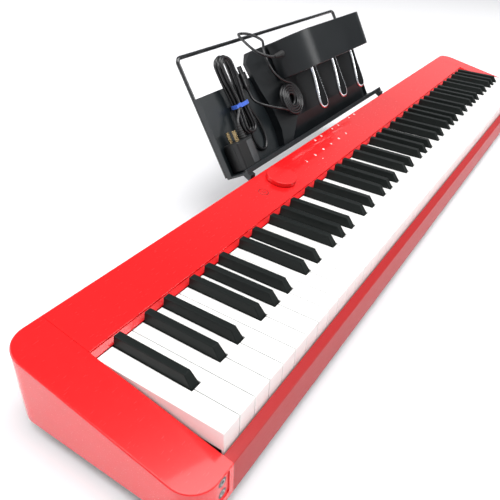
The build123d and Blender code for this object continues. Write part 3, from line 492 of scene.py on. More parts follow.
@cache
def speaker_paper():
    """Pressed paper cone and its frame: long fibres pressed flat, with a dull black dye."""
    finish = Finish("speaker_paper", {"IOR": 1.4})
    fibres = finish.noise(0.0012, 4.0, 0.7)
    swirl = finish.noise(0.012, 2.0)
    return finish.join(
        {
            "Base Color": finish.mixed(fibres, (0.012, 0.012, 0.013), (0.06, 0.06, 0.062)),
            "Roughness": 0.62 + swirl * 0.2,
            "Normal": finish.bumped(fibres, 0.00015, 0.6),
        }
    )


@cache
def rubber():
    """Moulded rubber: dull, faintly bloomed, with a fine stipple."""
    finish = Finish("rubber", {"IOR": 1.5, "Specular IOR Level": 0.35})
    bloom = finish.noise(0.008, 3.0)
    stipple = finish.noise(0.0007, 2.0)
    return finish.join(
        {
            "Base Color": finish.mixed(bloom, (0.012, 0.012, 0.012), (0.045, 0.045, 0.046)),
            "Roughness": 0.55 + bloom * 0.2,
            "Normal": finish.bumped(stipple, 0.0001, 0.5),
        }
    )


@cache
def lead_plastic():
    """Flexible plastic of the leads: soft sheen, slight extrusion ripple and rubbed patches."""
    finish = Finish("lead_plastic", {"IOR": 1.5, "Specular IOR Level": 0.6})
    ripple = finish.noise(0.0022, 2.0)
    rubbed = finish.noise(0.02, 3.0)
    base = colours().cord
    return finish.join(
        {
            "Base Color": finish.mixed(rubbed, tinted(base, 0.7), tinted(base, 1.8)),
            "Roughness": 0.26 + rubbed * 0.14,
            "Normal": finish.bumped(ripple, 0.00006, 0.4),
        }
    )


@cache
def woven_tie():
    """Woven nylon band: two crossing sets of threads and a soft sheen."""
    finish = Finish("woven_tie", {"Sheen Weight": 0.25, "IOR": 1.5})
    along = finish.waves(0.0007, "X")
    up = finish.waves(0.0009, "Z")
    weave = along * 0.5 + up * 0.5
    base = colours().tie
    return finish.join(
        {
            "Base Color": finish.mixed(weave, tinted(base, 0.55), tinted(base, 1.5)),
            "Roughness": 0.42 + weave * 0.2,
            "Normal": finish.bumped(weave, 0.0002, 0.6),
        }
    )


@cache
def white_print():
    """Printed white: thin ink that lets a little red through at its thin spots."""
    finish = Finish("white_print", {"IOR": 1.45})
    cover = finish.noise(0.0006, 3.0)
    return finish.join(
        {
            "Base Color": finish.mixed(cover, (0.78, 0.55, 0.55), (0.97, 0.95, 0.95)),
            "Roughness": 0.36 + cover * 0.14,
        }
    )


@cache
def grey_print():
    """Grey print of the power mark and its ring."""
    finish = Finish("grey_print", {"IOR": 1.45})
    cover = finish.noise(0.0005, 3.0)
    return finish.join(
        {
            "Base Color": finish.mixed(cover, (0.05, 0.012, 0.012), (0.11, 0.03, 0.03)),
            "Roughness": 0.4 + cover * 0.12,
        }
    )


@cache
def rating_label():
    """Blank dark grey foil label, with fine brushed lines and patches rubbed dull."""
    finish = Finish("rating_label", {"IOR": 1.45, "Metallic": 0.25})
    brushed = finish.noise(0.0004, 2.0, 0.5, finish.place((1.0, 0.08, 0.08)))
    rubbed = finish.noise(0.01, 3.0)
    tone = brushed * 0.5 + rubbed * 0.5
    return finish.join(
        {
            "Base Color": finish.mixed(tone, (0.035, 0.038, 0.04), (0.10, 0.105, 0.11)),
            "Roughness": 0.36 + rubbed * 0.16,
            "Normal": finish.bumped(brushed, 0.00002, 0.3),
        }
    )


@cache
def studio_floor():
    """Matt white board with a barely uneven tone."""
    finish = Finish("studio_floor", {"Roughness": 0.75, "Specular IOR Level": 0.2})
    tone = finish.noise(0.6, 2.0)
    return finish.join({"Base Color": finish.mixed(tone, (0.90, 0.895, 0.915), (0.93, 0.93, 0.94))})


# ---------------------------------------------------------------- shapes


def on_rest(points):
    """Takes (u, v, w) points to the frame: corner + u across + v up the plate + w out of it."""
    points = np.asarray(points, float)
    return REST_CORNER + points @ np.stack([ACROSS, UP_PLATE, OUT_OF_PLATE])


def on_panel(points):
    """Takes (x, set-back, rise) points to the frame, from the volume knob's place on the panel."""
    points = np.asarray(points, float) - (KNOB_PLACE[0], KNOB_SET_BACK, 0)
    return KNOB_PLACE + points @ np.stack([ACROSS, PANEL_BACK, PANEL_NORMAL])


def grid_faces(rows, columns):
    """Quads between neighbouring rows of a grid whose columns close on themselves."""
    index = np.arange(rows * columns).reshape(rows, columns)
    index = np.hstack([index, index[:, :1]])
    return np.stack([index[:-1, :-1], index[:-1, 1:], index[1:, 1:], index[1:, :-1]], -1).reshape(-1, 4)


def skin(rings):
    """Closed skin over rings[row, column]: quads between rings, each end closed round its middle."""
    rows, columns = rings.shape[:2]
    first = np.arange(columns)
    last = first + (rows - 1) * columns
    middle = np.full(columns, rows * columns)
    points = np.vstack([rings.reshape(-1, 3), rings[0].mean(0), rings[-1].mean(0)])
    faces = grid_faces(rows, columns).tolist()
    faces += np.stack([np.roll(first, -1), first, middle], -1).tolist()
    faces += np.stack([last, np.roll(last, -1), middle + 1], -1).tolist()
    return points, faces


def hoop(rings):
    """Skin over rings whose last ring joins the first, like a tyre."""
    rows, columns = rings.shape[:2]
    closed = np.concatenate([rings, rings[:1]])
    faces = grid_faces(rows + 1, columns) % (rows * columns)
    return closed[:-1].reshape(-1, 3), faces.tolist()


def together(shapes):
    """One shape of several: their points stacked, and each one's faces counted on from those before."""
    points, faces, start = [], [], 0
    for shape_points, shape_faces in shapes:
        points.append(shape_points)
        faces += [[start + corner for corner in face] for face in shape_faces]
        start += len(shape_points)
    return np.vstack(points), faces


def oval(half_across, half_deep, power, columns=32):
    """Superellipse |x/a|^n + |z/b|^n = 1 at even angles, one row for each a, b and n."""
    angle = np.linspace(0, 2 * pi, columns, endpoint=False)
    shape = [np.reshape(value, (-1, 1)) for value in np.broadcast_arrays(half_across, half_deep, power)]
    across, deep, exponent = (value.astype(float) for value in shape)
    x = across * np.sign(np.cos(angle)) * np.abs(np.cos(angle)) ** (2 / exponent)
    z = deep * np.sign(np.sin(angle)) * np.abs(np.sin(angle)) ** (2 / exponent)
    return x, z


def barrel(start, axis, side, stations, half_across, half_deep, power, columns=32):
    """Loft along axis: a superellipse at each station, its first half-width along side."""
    axis = np.asarray(axis, float)
    side = np.asarray(side, float)
    rows = np.broadcast_arrays(stations, half_across, half_deep, power)
    x, z = oval(rows[1], rows[2], rows[3], columns)
    along = rows[0].reshape(-1, 1) + 0 * x
    frame_of = np.stack([axis, side, np.cross(axis, side)])
    return skin(np.asarray(start) + np.stack([along, x, z], -1) @ frame_of)


def ring_of(centre, axis, side, inner, outer, low, high, columns=40):
    """Ring of rectangular section round axis: its four edges are circles, and the fourth meets the first."""
    angle = np.linspace(0, 2 * pi, columns, endpoint=False)
    radii = np.array([inner, outer, outer, inner])[:, None]
    along = np.array([low, low, high, high])[:, None] + 0 * angle
    third = np.cross(axis, side)
    local = np.stack([along, radii * np.cos(angle), radii * np.sin(angle)], -1)
    return hoop(np.asarray(centre) + local @ np.stack([axis, side, third]))


def place_piece(name, shape, body, material, replaced=(), sharp=35):
    """Makes a piece's mesh, faces outwards, shaded smooth but for edges sharper than an angle."""
    points, faces = shape
    mesh = bpy.data.meshes.new(name)
    mesh.from_pydata(points.tolist(), [], faces)
    work = bmesh.new()
    work.from_mesh(mesh)
    bmesh.ops.recalc_face_normals(work, faces=work.faces)
    work.to_mesh(mesh)
    work.free()
    mesh.shade_smooth()
    mesh.set_sharp_from_angle(angle=radians(sharp))
    piece = bpy.data.objects.new(name, mesh)
    return settled(piece, body, material, replaced)


def settled(piece, body, material, replaced=()):
    """Links a piece, gives it its finish, parents it to its body's empty, and hides the CAD parts it
    replaces.
    """
    bpy.context.scene.collection.objects.link(piece)
    piece.data.materials.append(material)
    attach(piece, body)
    if replaced:
        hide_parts(*replaced)
    return piece


def lead(name, points, diameter, body, replaced):
    """A lead as one smooth NURBS line through its control points, as thick as its diameter."""
    curve = bpy.data.curves.new(name, "CURVE")
    curve.dimensions = "3D"
    curve.bevel_depth = diameter / 2
    curve.bevel_resolution = 4
    curve.use_fill_caps = True
    spline = curve.splines.new("NURBS")
    spline.points.add(len(points) - 1)
    spline.points.foreach_set("co", np.column_stack([points, np.ones(len(points))]).ravel())
    spline.use_endpoint_u = True
    spline.order_u = 3
    spline.resolution_u = 6
    return settled(bpy.data.objects.new(name, curve), body, lead_plastic(), replaced)


# ---------------------------------------------------------------- stage


class PIANO_OT_stage(bpy.types.Operator):
    """Pale floor, soft lights, a pale room and the camera"""

    bl_idname = "piano.stage"
    bl_label = "Studio"

    camera_offset = (-0.8395, -0.160, 0.453)
    camera_bearing = radians(59.67)
    camera_dip = radians(33.33)
    camera_roll = radians(3.594)
    camera_lens = 39.26
    camera_shift = (-0.0284, -0.0169)
    floor_half = 9.0
    doorway = (0.722, -0.685, 0.095)

    def camera(self):
        """The camera's axes: forward from bearing and dip, then right and up turned by the roll."""
        level = cos(self.camera_dip)
        forward = Vector(
            (sin(self.camera_bearing) * level, cos(self.camera_bearing) * level, -sin(self.camera_dip))
        )
        right = forward.cross(Vector((0, 0, 1))).normalized()
        up = right.cross(forward)
        turn = self.camera_roll
        axes = (cos(turn) * right + sin(turn) * up, cos(turn) * up - sin(turn) * right, -forward)
        camera = bpy.data.cameras.new("camera")
        camera.lens = self.camera_lens
        camera.sensor_width = 36
        camera.shift_x, camera.shift_y = self.camera_shift
        camera.clip_start = 0.01
        stand = bpy.data.objects.new("camera", camera)
        keys_front = Vector((0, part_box("white_keys_lower")[0][1], 0))
        place = keys_front + Vector(self.camera_offset)
        stand.matrix_world = Matrix.Translation(place) @ Matrix(axes).transposed().to_4x4()
        bpy.context.scene.collection.objects.link(stand)
        bpy.context.scene.camera = stand

    def floor(self):
        """A wide floor at the piano's feet."""
        half = self.floor_half
        mesh = bpy.data.meshes.new("floor")
        corners = [(-half, -half, 0), (half, -half, 0), (half, half, 0), (-half, half, 0)]
        mesh.from_pydata(corners, [], [(0, 1, 2, 3)])
        floor = bpy.data.objects.new("floor", mesh)
        mesh.materials.append(studio_floor())
        bpy.context.scene.collection.objects.link(floor)

    def light(self, name, place, target, width, depth, power):
        """A soft rectangular light that faces its target."""
        light = bpy.data.lights.new(name, "AREA")
        light.shape = "RECTANGLE"
        light.size = width
        light.size_y = depth
        light.energy = power
        stand = bpy.data.objects.new(name, light)
        stand.location = place
        stand.rotation_euler = (Vector(target) - Vector(place)).to_track_quat("-Z", "Y").to_euler()
        bpy.context.scene.collection.objects.link(stand)

    def surroundings(self, strength):
        """Pale walls under a dim ceiling, with a dark doorway to the player's right."""
        world = bpy.data.worlds.new("room")
        world.use_nodes = True
        bpy.context.scene.world = world
        room = Nodes(world.node_tree)
        where = room.node("ShaderNodeTexCoord", output="Generated")
        height = room.node("ShaderNodeSeparateXYZ", {}, {0: where}, output="Z")
        facing = room.node(
            "ShaderNodeVectorMath", {"operation": "DOT_PRODUCT"}, {0: where, 1: self.doorway}, output="Value"
        )
        dim = room.node("ShaderNodeMapRange", {}, {0: height, 1: 0.46, 2: 0.74, 3: 1.0, 4: 0.25})
        doorway = room.node("ShaderNodeMapRange", {}, {0: facing, 1: 0.72, 2: 0.9, 3: 1.0, 4: 0.04})
        glow = dim * doorway * strength
        background = world.node_tree.nodes["Background"]
        background.inputs["Color"].default_value = (0.97, 0.98, 1.0, 1)
        world.node_tree.links.new(glow.socket, background.inputs["Strength"])

    def execute(self, context):
        studio = context.scene.piano_studio
        self.camera()
        self.floor()
        self.surroundings(studio.surroundings)
        self.light("top_light", (-0.2, -0.7, 3.1), (0.1, 0.1, 0.0), 3.0, 2.0, studio.top_light)
        self.light("window_light", (1.2, -1.9, 1.7), (0.3, 0.0, 0.0), 1.4, 1.0, studio.window_light)
        self.light("wall_light", (-1.8, 3.2, 3.0), (0.6, 2.6, 0.0), 3.4, 2.4, studio.wall_light)
        context.scene.view_settings.view_transform = "Standard"
        return {"FINISHED"}


# ---------------------------------------------------------------- leads


class PIANO_OT_pedal_lead(bpy.types.Operator):
    """The pedal unit's lead: up over the wire hoop, back down to its coil, and out to its plug"""

    bl_idname = "piano.pedal_lead"
    bl_label = "Pedal lead"

    route = np.array(
        [
            (-92.0, 134.0, 52.0),
            (-104.0, 134.0, 52.0),
            (-116.0, 141.0, 45.5),
            (-120.5, 154.0, 34.0),
            (-116.0, 170.0, 21.0),
            (-104.0, 185.5, 5.0),
            (-87.0, 188.5, -4.0),
            (-72.5, 183.0, 4.0),
            (-69.0, 166.0, 21.0),
            (-84.0, 159.5, 30.0),
            (-97.0, 148.0, 34.5),
            (-102.0, 131.0, 37.0),
            (-99.5, 114.0, 38.6),
            (-89.5, 100.5, 40.0),
            (-76.0, 92.0, 40.5),
        ]
    )
    tail = np.array(
        [
            (-103.5, 55.0, 38.8),
            (-119.0, 60.5, 37.0),
            (-133.0, 71.0, 27.5),
            (-137.5, 82.0, 14.0),
            (-137.5, 92.0, 9.0),
            (-137.5, 101.0, 9.0),
        ]
    )
    coil_centre = (-76.0, 64.0)
    coil_radius = 27.6
    inner_radius = 9.2
    top_layer = 39.6
    layer_drop = 4.4
    points_per_turn = 14

    def coil(self, turns):
        """Turns spiralling in on the top layer and out again below it, each a little out of round.

        The angle falls evenly with the turn number; the radius falls to its least half-way and grows
        back; the layer changes over half a turn there; and the radius swells twice in each turn.
        """
        turn = np.arange(1, int(turns * self.points_per_turn)) / self.points_per_turn
        angle = radians(88) - 2 * pi * turn
        inward = np.abs(2 * turn / turns - 1)
        radius = self.inner_radius + (self.coil_radius - self.inner_radius) * inward
        radius = radius * (1 + 0.04 * np.cos(2 * angle + 0.6))
        change = np.clip((turn - turns / 2) * 2 + 0.5, 0, 1)
        layer = self.top_layer - self.layer_drop * change * change * (3 - 2 * change)
        u, v = self.coil_centre
        return np.column_stack([u + radius * np.cos(angle), v + radius * np.sin(angle), layer])

    def execute(self, context):
        diameter = sizes().pedal_lead
        points = on_rest(np.vstack([self.route, self.coil(sizes().coil_turns), self.tail]) * MM)
        nodes = ("pedal_lead", "pedal_lead_coil", "pedal_lead_tail")
        lead("pedal_unit_lead", points, diameter, "music_rest", nodes)
        return {"FINISHED"}


class PIANO_OT_adapter_lead(bpy.types.Operator):
    """The adapter's lead: a long hank under its tie, then a loop along the ledge to its plug"""

    bl_idname = "piano.adapter_lead"
    bl_label = "Adapter lead"

    route = np.array(
        [
            (-209.0, 53.8, 22.0),
            (-209.0, 63.5, 21.8),
            (-201.0, 73.5, 21.0),
            (-189.5, 83.5, 20.5),
        ]
    )
    tail = np.array(
        [
            (-164.0, 52.0, 6.4),
            (-165.0, 30.0, 4.6),
            (-158.5, 14.5, 3.6),
            (-145.0, 8.5, 3.4),
            (-133.5, 19.5, 3.4),
            (-131.5, 40.0, 3.6),
            (-136.5, 60.0, 4.4),
            (-146.0, 76.5, 5.2),
            (-152.0, 94.0, 5.6),
        ]
    )
    centre = (-176.0, 102.0)
    fold_radius = 12.6
    half_run = 45.0
    tie_height = 88.0
    pinch = 0.36
    pinch_length = 26.0
    first_height = 20.5
    last_height = 6.4
    spread = (0.0, -1.8, 1.4, -1.5, 1.2)
    stretch = (0.0, 4.0, -2.0, 5.0, 1.0)

    def hank(self, turns):
        """Stadium turns: up the left run, over the top fold, down the right run and under the bottom fold.

        Each turn is a little wider and longer or shorter than the last, changing over its bottom fold.
        The runs draw in towards the tie as a bell curve, and the whole sinks evenly from turn to turn.
        """
        run = np.linspace(-1, 1, 5, endpoint=False)
        fold = np.linspace(pi, 0, 7, endpoint=False)
        level = np.zeros(5)
        across = np.concatenate([-np.ones(5), np.cos(fold), np.ones(5), -np.cos(fold)])
        along = np.concatenate([run, np.ones(7), -run, -np.ones(7)])
        bulge = np.concatenate([level, np.sin(fold), level, -np.sin(fold)])
        count = across.size
        index = np.arange(2, turns * count + 17)
        phase = index % count
        turn = index // count + np.clip((phase - 17) / 7, 0, 1)
        order = np.arange(len(self.spread))
        radius = self.fold_radius + np.interp(turn, order, self.spread)
        longer = np.interp(turn, order, self.stretch) * (along[phase] > 0.9)
        v = self.centre[1] + along[phase] * self.half_run + bulge[phase] * radius + longer
        drawn_in = 1 - self.pinch * np.exp(-(((v - self.tie_height) / self.pinch_length) ** 2))
        side = across[phase] * (self.fold_radius * drawn_in + radius - self.fold_radius)
        sinking = np.linspace(self.first_height, self.last_height, index.size)
        return np.column_stack([self.centre[0] + side, v, sinking])

    def execute(self, context):
        diameter = sizes().adapter_lead
        points = on_rest(np.vstack([self.route, self.hank(sizes().hank_turns), self.tail]) * MM)
        nodes = ("adapter_lead", "adapter_lead_hank", "adapter_lead_tail")
        lead("power_adapter_lead", points, diameter, "music_rest", nodes)
        return {"FINISHED"}


class PIANO_OT_strain_reliefs(bpy.types.Operator):
    """Tapered ribbed sleeves where each lead leaves its housing"""

    bl_idname = "piano.strain_reliefs"
    bl_label = "Strain reliefs"

    pedal_exit = (-0.0765, 0.134, 0.052)
    adapter_exit = (-0.209, 0.0432, 0.022)
    wall = 0.0006

    def sleeve(self, name, start, axis, side, length, wide, narrow, ribs, replaced=()):
        """Cone with ribs: the radius falls evenly and rises by a rounded square wave of the station."""
        station = np.linspace(0, 1, ribs * 8 + 1)
        wave = np.clip(1.6 * np.sin(2 * pi * ribs * station - pi / 2), -1, 1)
        radius = (wide + (narrow - wide) * station) * (1 + 0.07 * wave)
        shape = barrel(start, axis, side, station * length, radius, radius, 2.0, 28)
        return place_piece(name, shape, "music_rest", rubber(), replaced, 60)

    def execute(self, context):
        pedal_half = sizes().pedal_lead / 2
        adapter_half = sizes().adapter_lead / 2
        exit_point = on_rest([self.pedal_exit])[0]
        narrow = pedal_half + self.wall
        self.sleeve(
            "pedal_lead_relief", exit_point, -ACROSS, UP_PLATE, 0.024, 0.0050, narrow, 7, ("pedal_gland",)
        )
        exit_point = on_rest([self.adapter_exit])[0]
        narrow = adapter_half + self.wall
        self.sleeve("adapter_lead_relief", exit_point, UP_PLATE, ACROSS, 0.021, 0.0052, narrow, 6)
        return {"FINISHED"}


class PIANO_OT_plugs(bpy.types.Operator):
    """Plugs on the far ends of both leads"""

    bl_idname = "piano.plugs"
    bl_label = "Plugs"

    def pedal_plug(self):
        """Grip and tip in one loft: round at the lead, a block with finger ridges, a step, a slim tip."""
        station = np.array([0, 3, 6, 7, 9, 11, 13, 15, 17, 19, 21, 23, 27, 29.5, 30, 30, 31, 38, 40]) * MM
        ridges = [6.5, 6.1] * 3
        across = np.array([2.9, 3.6, 5.0, 6.3, *ridges, 6.5, 6.5, 6.5, 6.2, 5.4, 4.2, 4.2, 4.2, 3.8]) * MM
        ridges = [4.0, 3.7] * 3
        deep = np.array([2.9, 3.0, 3.4, 3.9, *ridges, 4.0, 4.0, 4.0, 3.8, 3.2, 2.1, 2.1, 2.1, 1.9]) * MM
        power = np.where(station < 0.005, 2.0, 5.0)
        start = on_rest([(-0.1375, 0.101, 0.009)])[0]
        shape = barrel(start, UP_PLATE, ACROSS, station, across, deep, power, 40)
        place_piece("pedal_lead_plug", shape, "music_rest", lead_plastic(), ("pedal_plug",), 50)

    def adapter_plug(self):
        """Ribbed relief that widens into a flat rounded grip with a shallow thumb hollow."""
        grip_stations = [16, 17, 19, 22, 26, 30, 34, 38, 40.5, 41.6, 42]
        station = np.concatenate([np.linspace(0, 15, 46), grip_stations]) * MM
        wave = np.clip(1.6 * np.sin(2 * pi * station / 0.0027 - pi / 2), -1, 1)
        relief = np.interp(station, (0, 0.015), (0.0029, 0.0041)) * (1 + 0.08 * wave * (station < 0.0148))
        places = np.array([15, 16, 17, 19, 40.5, 41.6, 42]) * MM
        grip = np.interp(station, places, np.array([4, 5.4, 6.8, 7.5, 7.5, 7.1, 6.2]) * MM)
        places = np.array([15, 17, 19, 22, 28, 34, 40.5, 42]) * MM
        flat = np.interp(station, places, np.array([3.9, 4.1, 4.25, 4.0, 3.6, 4.1, 4.25, 3.5]) * MM)
        on_grip = station > 0.0152
        across = np.where(on_grip, grip, relief)
        deep = np.where(on_grip, flat, np.minimum(relief, 0.0041))
        start = on_rest([(-0.152, 0.094, 0.0056)])[0]
        shape = barrel(start, UP_PLATE, ACROSS, station, across, deep, np.where(on_grip, 4.5, 2.0), 40)
        replaced = ("adapter_plug",)
        place_piece("adapter_lead_plug", shape, "music_rest", lead_plastic(), replaced, 50)

    def metal_tip(self):
        """Folded metal shell, open at its end, with a plastic tongue and two square latch windows."""
        start = on_rest([(-0.152, 0.1355, 0.0056)])[0]
        columns = 48
        outer_x, outer_z = oval(0.006, 0.00225, 9.0, columns)
        inner_x, inner_z = oval(0.0056, 0.00185, 9.0, columns)
        x = np.concatenate([outer_x, outer_x, inner_x, inner_x])
        z = np.concatenate([outer_z, outer_z, inner_z, inner_z])
        along = np.array([0, 18.4, 18.4, 3.0])[:, None] * MM + 0 * x
        axes = np.stack([UP_PLATE, ACROSS, np.cross(UP_PLATE, ACROSS)])
        shell = skin(start + np.stack([along, x, z], -1) @ axes)
        lift = np.cross(UP_PLATE, ACROSS)
        windows = []
        for offset in (-0.0026, 0.0026):
            middle = start + 0.0125 * UP_PLATE + offset * ACROSS - 0.0023 * lift
            low = middle - 0.0011 * UP_PLATE
            windows.append(barrel(low, UP_PLATE, ACROSS, [0, 0.0022], 0.0011, 0.00006, 8.0, 16))
        tongue = barrel(start + 0.001 * lift, UP_PLATE, ACROSS, [0.002, 0.0165], 0.005, 0.0006, 8.0, 16)
        place_piece("adapter_plug_shell", shell, "music_rest", nickel(), ("adapter_plug_tip",), 40)
        place_piece("adapter_plug_windows", together(windows), "music_rest", socket_plastic())
        place_piece("adapter_plug_tongue", tongue, "music_rest", socket_plastic())

    def execute(self, context):
        self.pedal_plug()
        self.adapter_plug()
        self.metal_tip()
        return {"FINISHED"}


class PIANO_OT_declare_leads(bpy.types.Operator):
    """Works out the first point of each lead on the rest, and keeps nothing of it"""

    bl_idname = "piano.declare_leads"
    bl_label = "Declare leads"

    pedal_lead_length = 1.31
    adapter_lead_length = 1.42

    def execute(self, context):
        tuple(on_rest(PIANO_OT_pedal_lead.route[:1] * MM)[0])
        tuple(on_rest(PIANO_OT_adapter_lead.route[:1] * MM)[0])
        return {"FINISHED"}


class PIANO_OT_cable_tie(bpy.types.Operator):
    """Woven band round the hank, with its two loose ends"""

    bl_idname = "piano.cable_tie"
    bl_label = "Cable tie"

    centre = np.array([-0.176, 0.088, 0.0134])
    half_across = 0.0142
    half_deep = 0.0108
    band_width = 0.0058
    thickness = 0.0007

    def band(self):
        """Ribbon round the hank: a superellipse path whose height waves a little, of flat section."""
        angle = np.linspace(0, 2 * pi, 72, endpoint=False)
        x, z = oval(self.half_across, self.half_deep, 2.6, 72)
        path = np.column_stack([x[0], 0.0006 * np.sin(2 * angle), z[0]])
        outward = np.column_stack([np.cos(angle), 0 * angle, np.sin(angle)])
        half = self.band_width / 2
        steps = [(-half, 0.0), (half, 0.0), (half, self.thickness), (-half, self.thickness)]
        rings = np.stack([path + (0, rise, 0) + out * outward for rise, out in steps])
        return hoop(on_rest(self.centre + rings).reshape(rings.shape))

    def loose_end(self, start, heading, length, curl):
        """Flat strip: it leaves along heading, droops by the square of the way, and tapers to a cut end."""
        way = np.linspace(0, 1, 12)[:, None]
        start = np.array(start)
        path = start + way * np.array(heading) * length + way**2 * np.array(curl) * length
        half = self.band_width / 2 * (1 - 0.25 * way)
        sides = np.array([-1, 1, 1, -1])
        levels = np.array([0, 0, 1, 1]) * self.thickness
        offset = np.stack([0.35 * half * sides, half * sides, 0 * half + levels], -1)
        rings = path[:, None, :] + offset
        return skin(on_rest(rings))

    def execute(self, context):
        left = self.centre + (-self.half_across + 0.001, 0.0005, 0.007)
        ends = [
            self.loose_end(left, (-0.55, -0.75, 0.1), 0.017, (0.25, -0.2, -0.35)),
            self.loose_end(left + (0.004, 0.0, 0.003), (-0.9, 0.2, 0.25), 0.012, (0.0, -0.3, -0.3)),
        ]
        shape = together([self.band(), *ends])
        place_piece("cable_band", shape, "music_rest", woven_tie(), ("cable_tie",), 50)
        return {"FINISHED"}


# ---------------------------------------------------------------- pedals


class PIANO_OT_chrome_pedals(bpy.types.Operator):
    """Three chrome pedals: narrow neck, long swelling head with a domed top, and the root round the axle"""

    bl_idname = "piano.chrome_pedals"
    bl_label = "Chrome pedals"

    head_centre = -0.088
    head_radius = 0.013
    neck_half = 0.0075
    swell_length = 0.052
    heel = 0.0085
    half_thickness = 0.004
    middle = 0.001
    tilt = radians(2.5)
    root_radius = 0.0065
    bore_radius = 0.00306

    def blade(self):
        """Half-width along the pedal: a quarter circle at the tip, then a cosine swell into the neck.

        The thickness closes in over the tip with the sixth power of the way round it.
        """
        nose = self.head_centre - self.head_radius * np.cos(np.linspace(0.02, pi / 2, 18))
        rest = np.linspace(self.head_centre, self.heel, 40)[1:]
        station = np.concatenate([nose, rest])
        past = np.clip((self.head_centre - station) / self.head_radius, 0, 1)
        swell = np.clip((station - self.head_centre) / self.swell_length, 0, 1)
        wide = self.neck_half + (self.head_radius - self.neck_half) * (0.5 + 0.5 * np.cos(pi * swell))
        across = wide * np.sqrt(1 - past**2)
        deep = self.half_thickness * np.sqrt(1 - 0.92 * past**6)
        return station, across, deep

    def shape(self, u):
        """Blade and root in the rest's axes, tilted about the pivot so that the tip lies lower."""
        station, across, deep = self.blade()
        axis = cos(self.tilt) * UP_PLATE + sin(self.tilt) * OUT_OF_PLATE
        out = cos(self.tilt) * OUT_OF_PLATE - sin(self.tilt) * UP_PLATE
        pivot = PEDAL_PIVOT * (0, 1, 1) + u * ACROSS
        blade = barrel(pivot + self.middle * out, axis, ACROSS, station, across, deep, 3.2, 56)
        root = ring_of(
            pivot, ACROSS, UP_PLATE, self.bore_radius, self.root_radius, -self.neck_half, self.neck_half
        )
        return blade, root

    def execute(self, context):
        for number, name in enumerate(("left", "centre", "right")):
            blade, root = self.shape(UNIT_U + (number - 1) * PEDAL_PITCH)
            body = f"pedal_{name}"
            place_piece(f"chrome_pedal_{name}", blade, body, chrome(), (body,), 55)
            place_piece(f"pedal_root_{name}", root, body, chrome())
        return {"FINISHED"}


# ---------------------------------------------------------------- small pieces


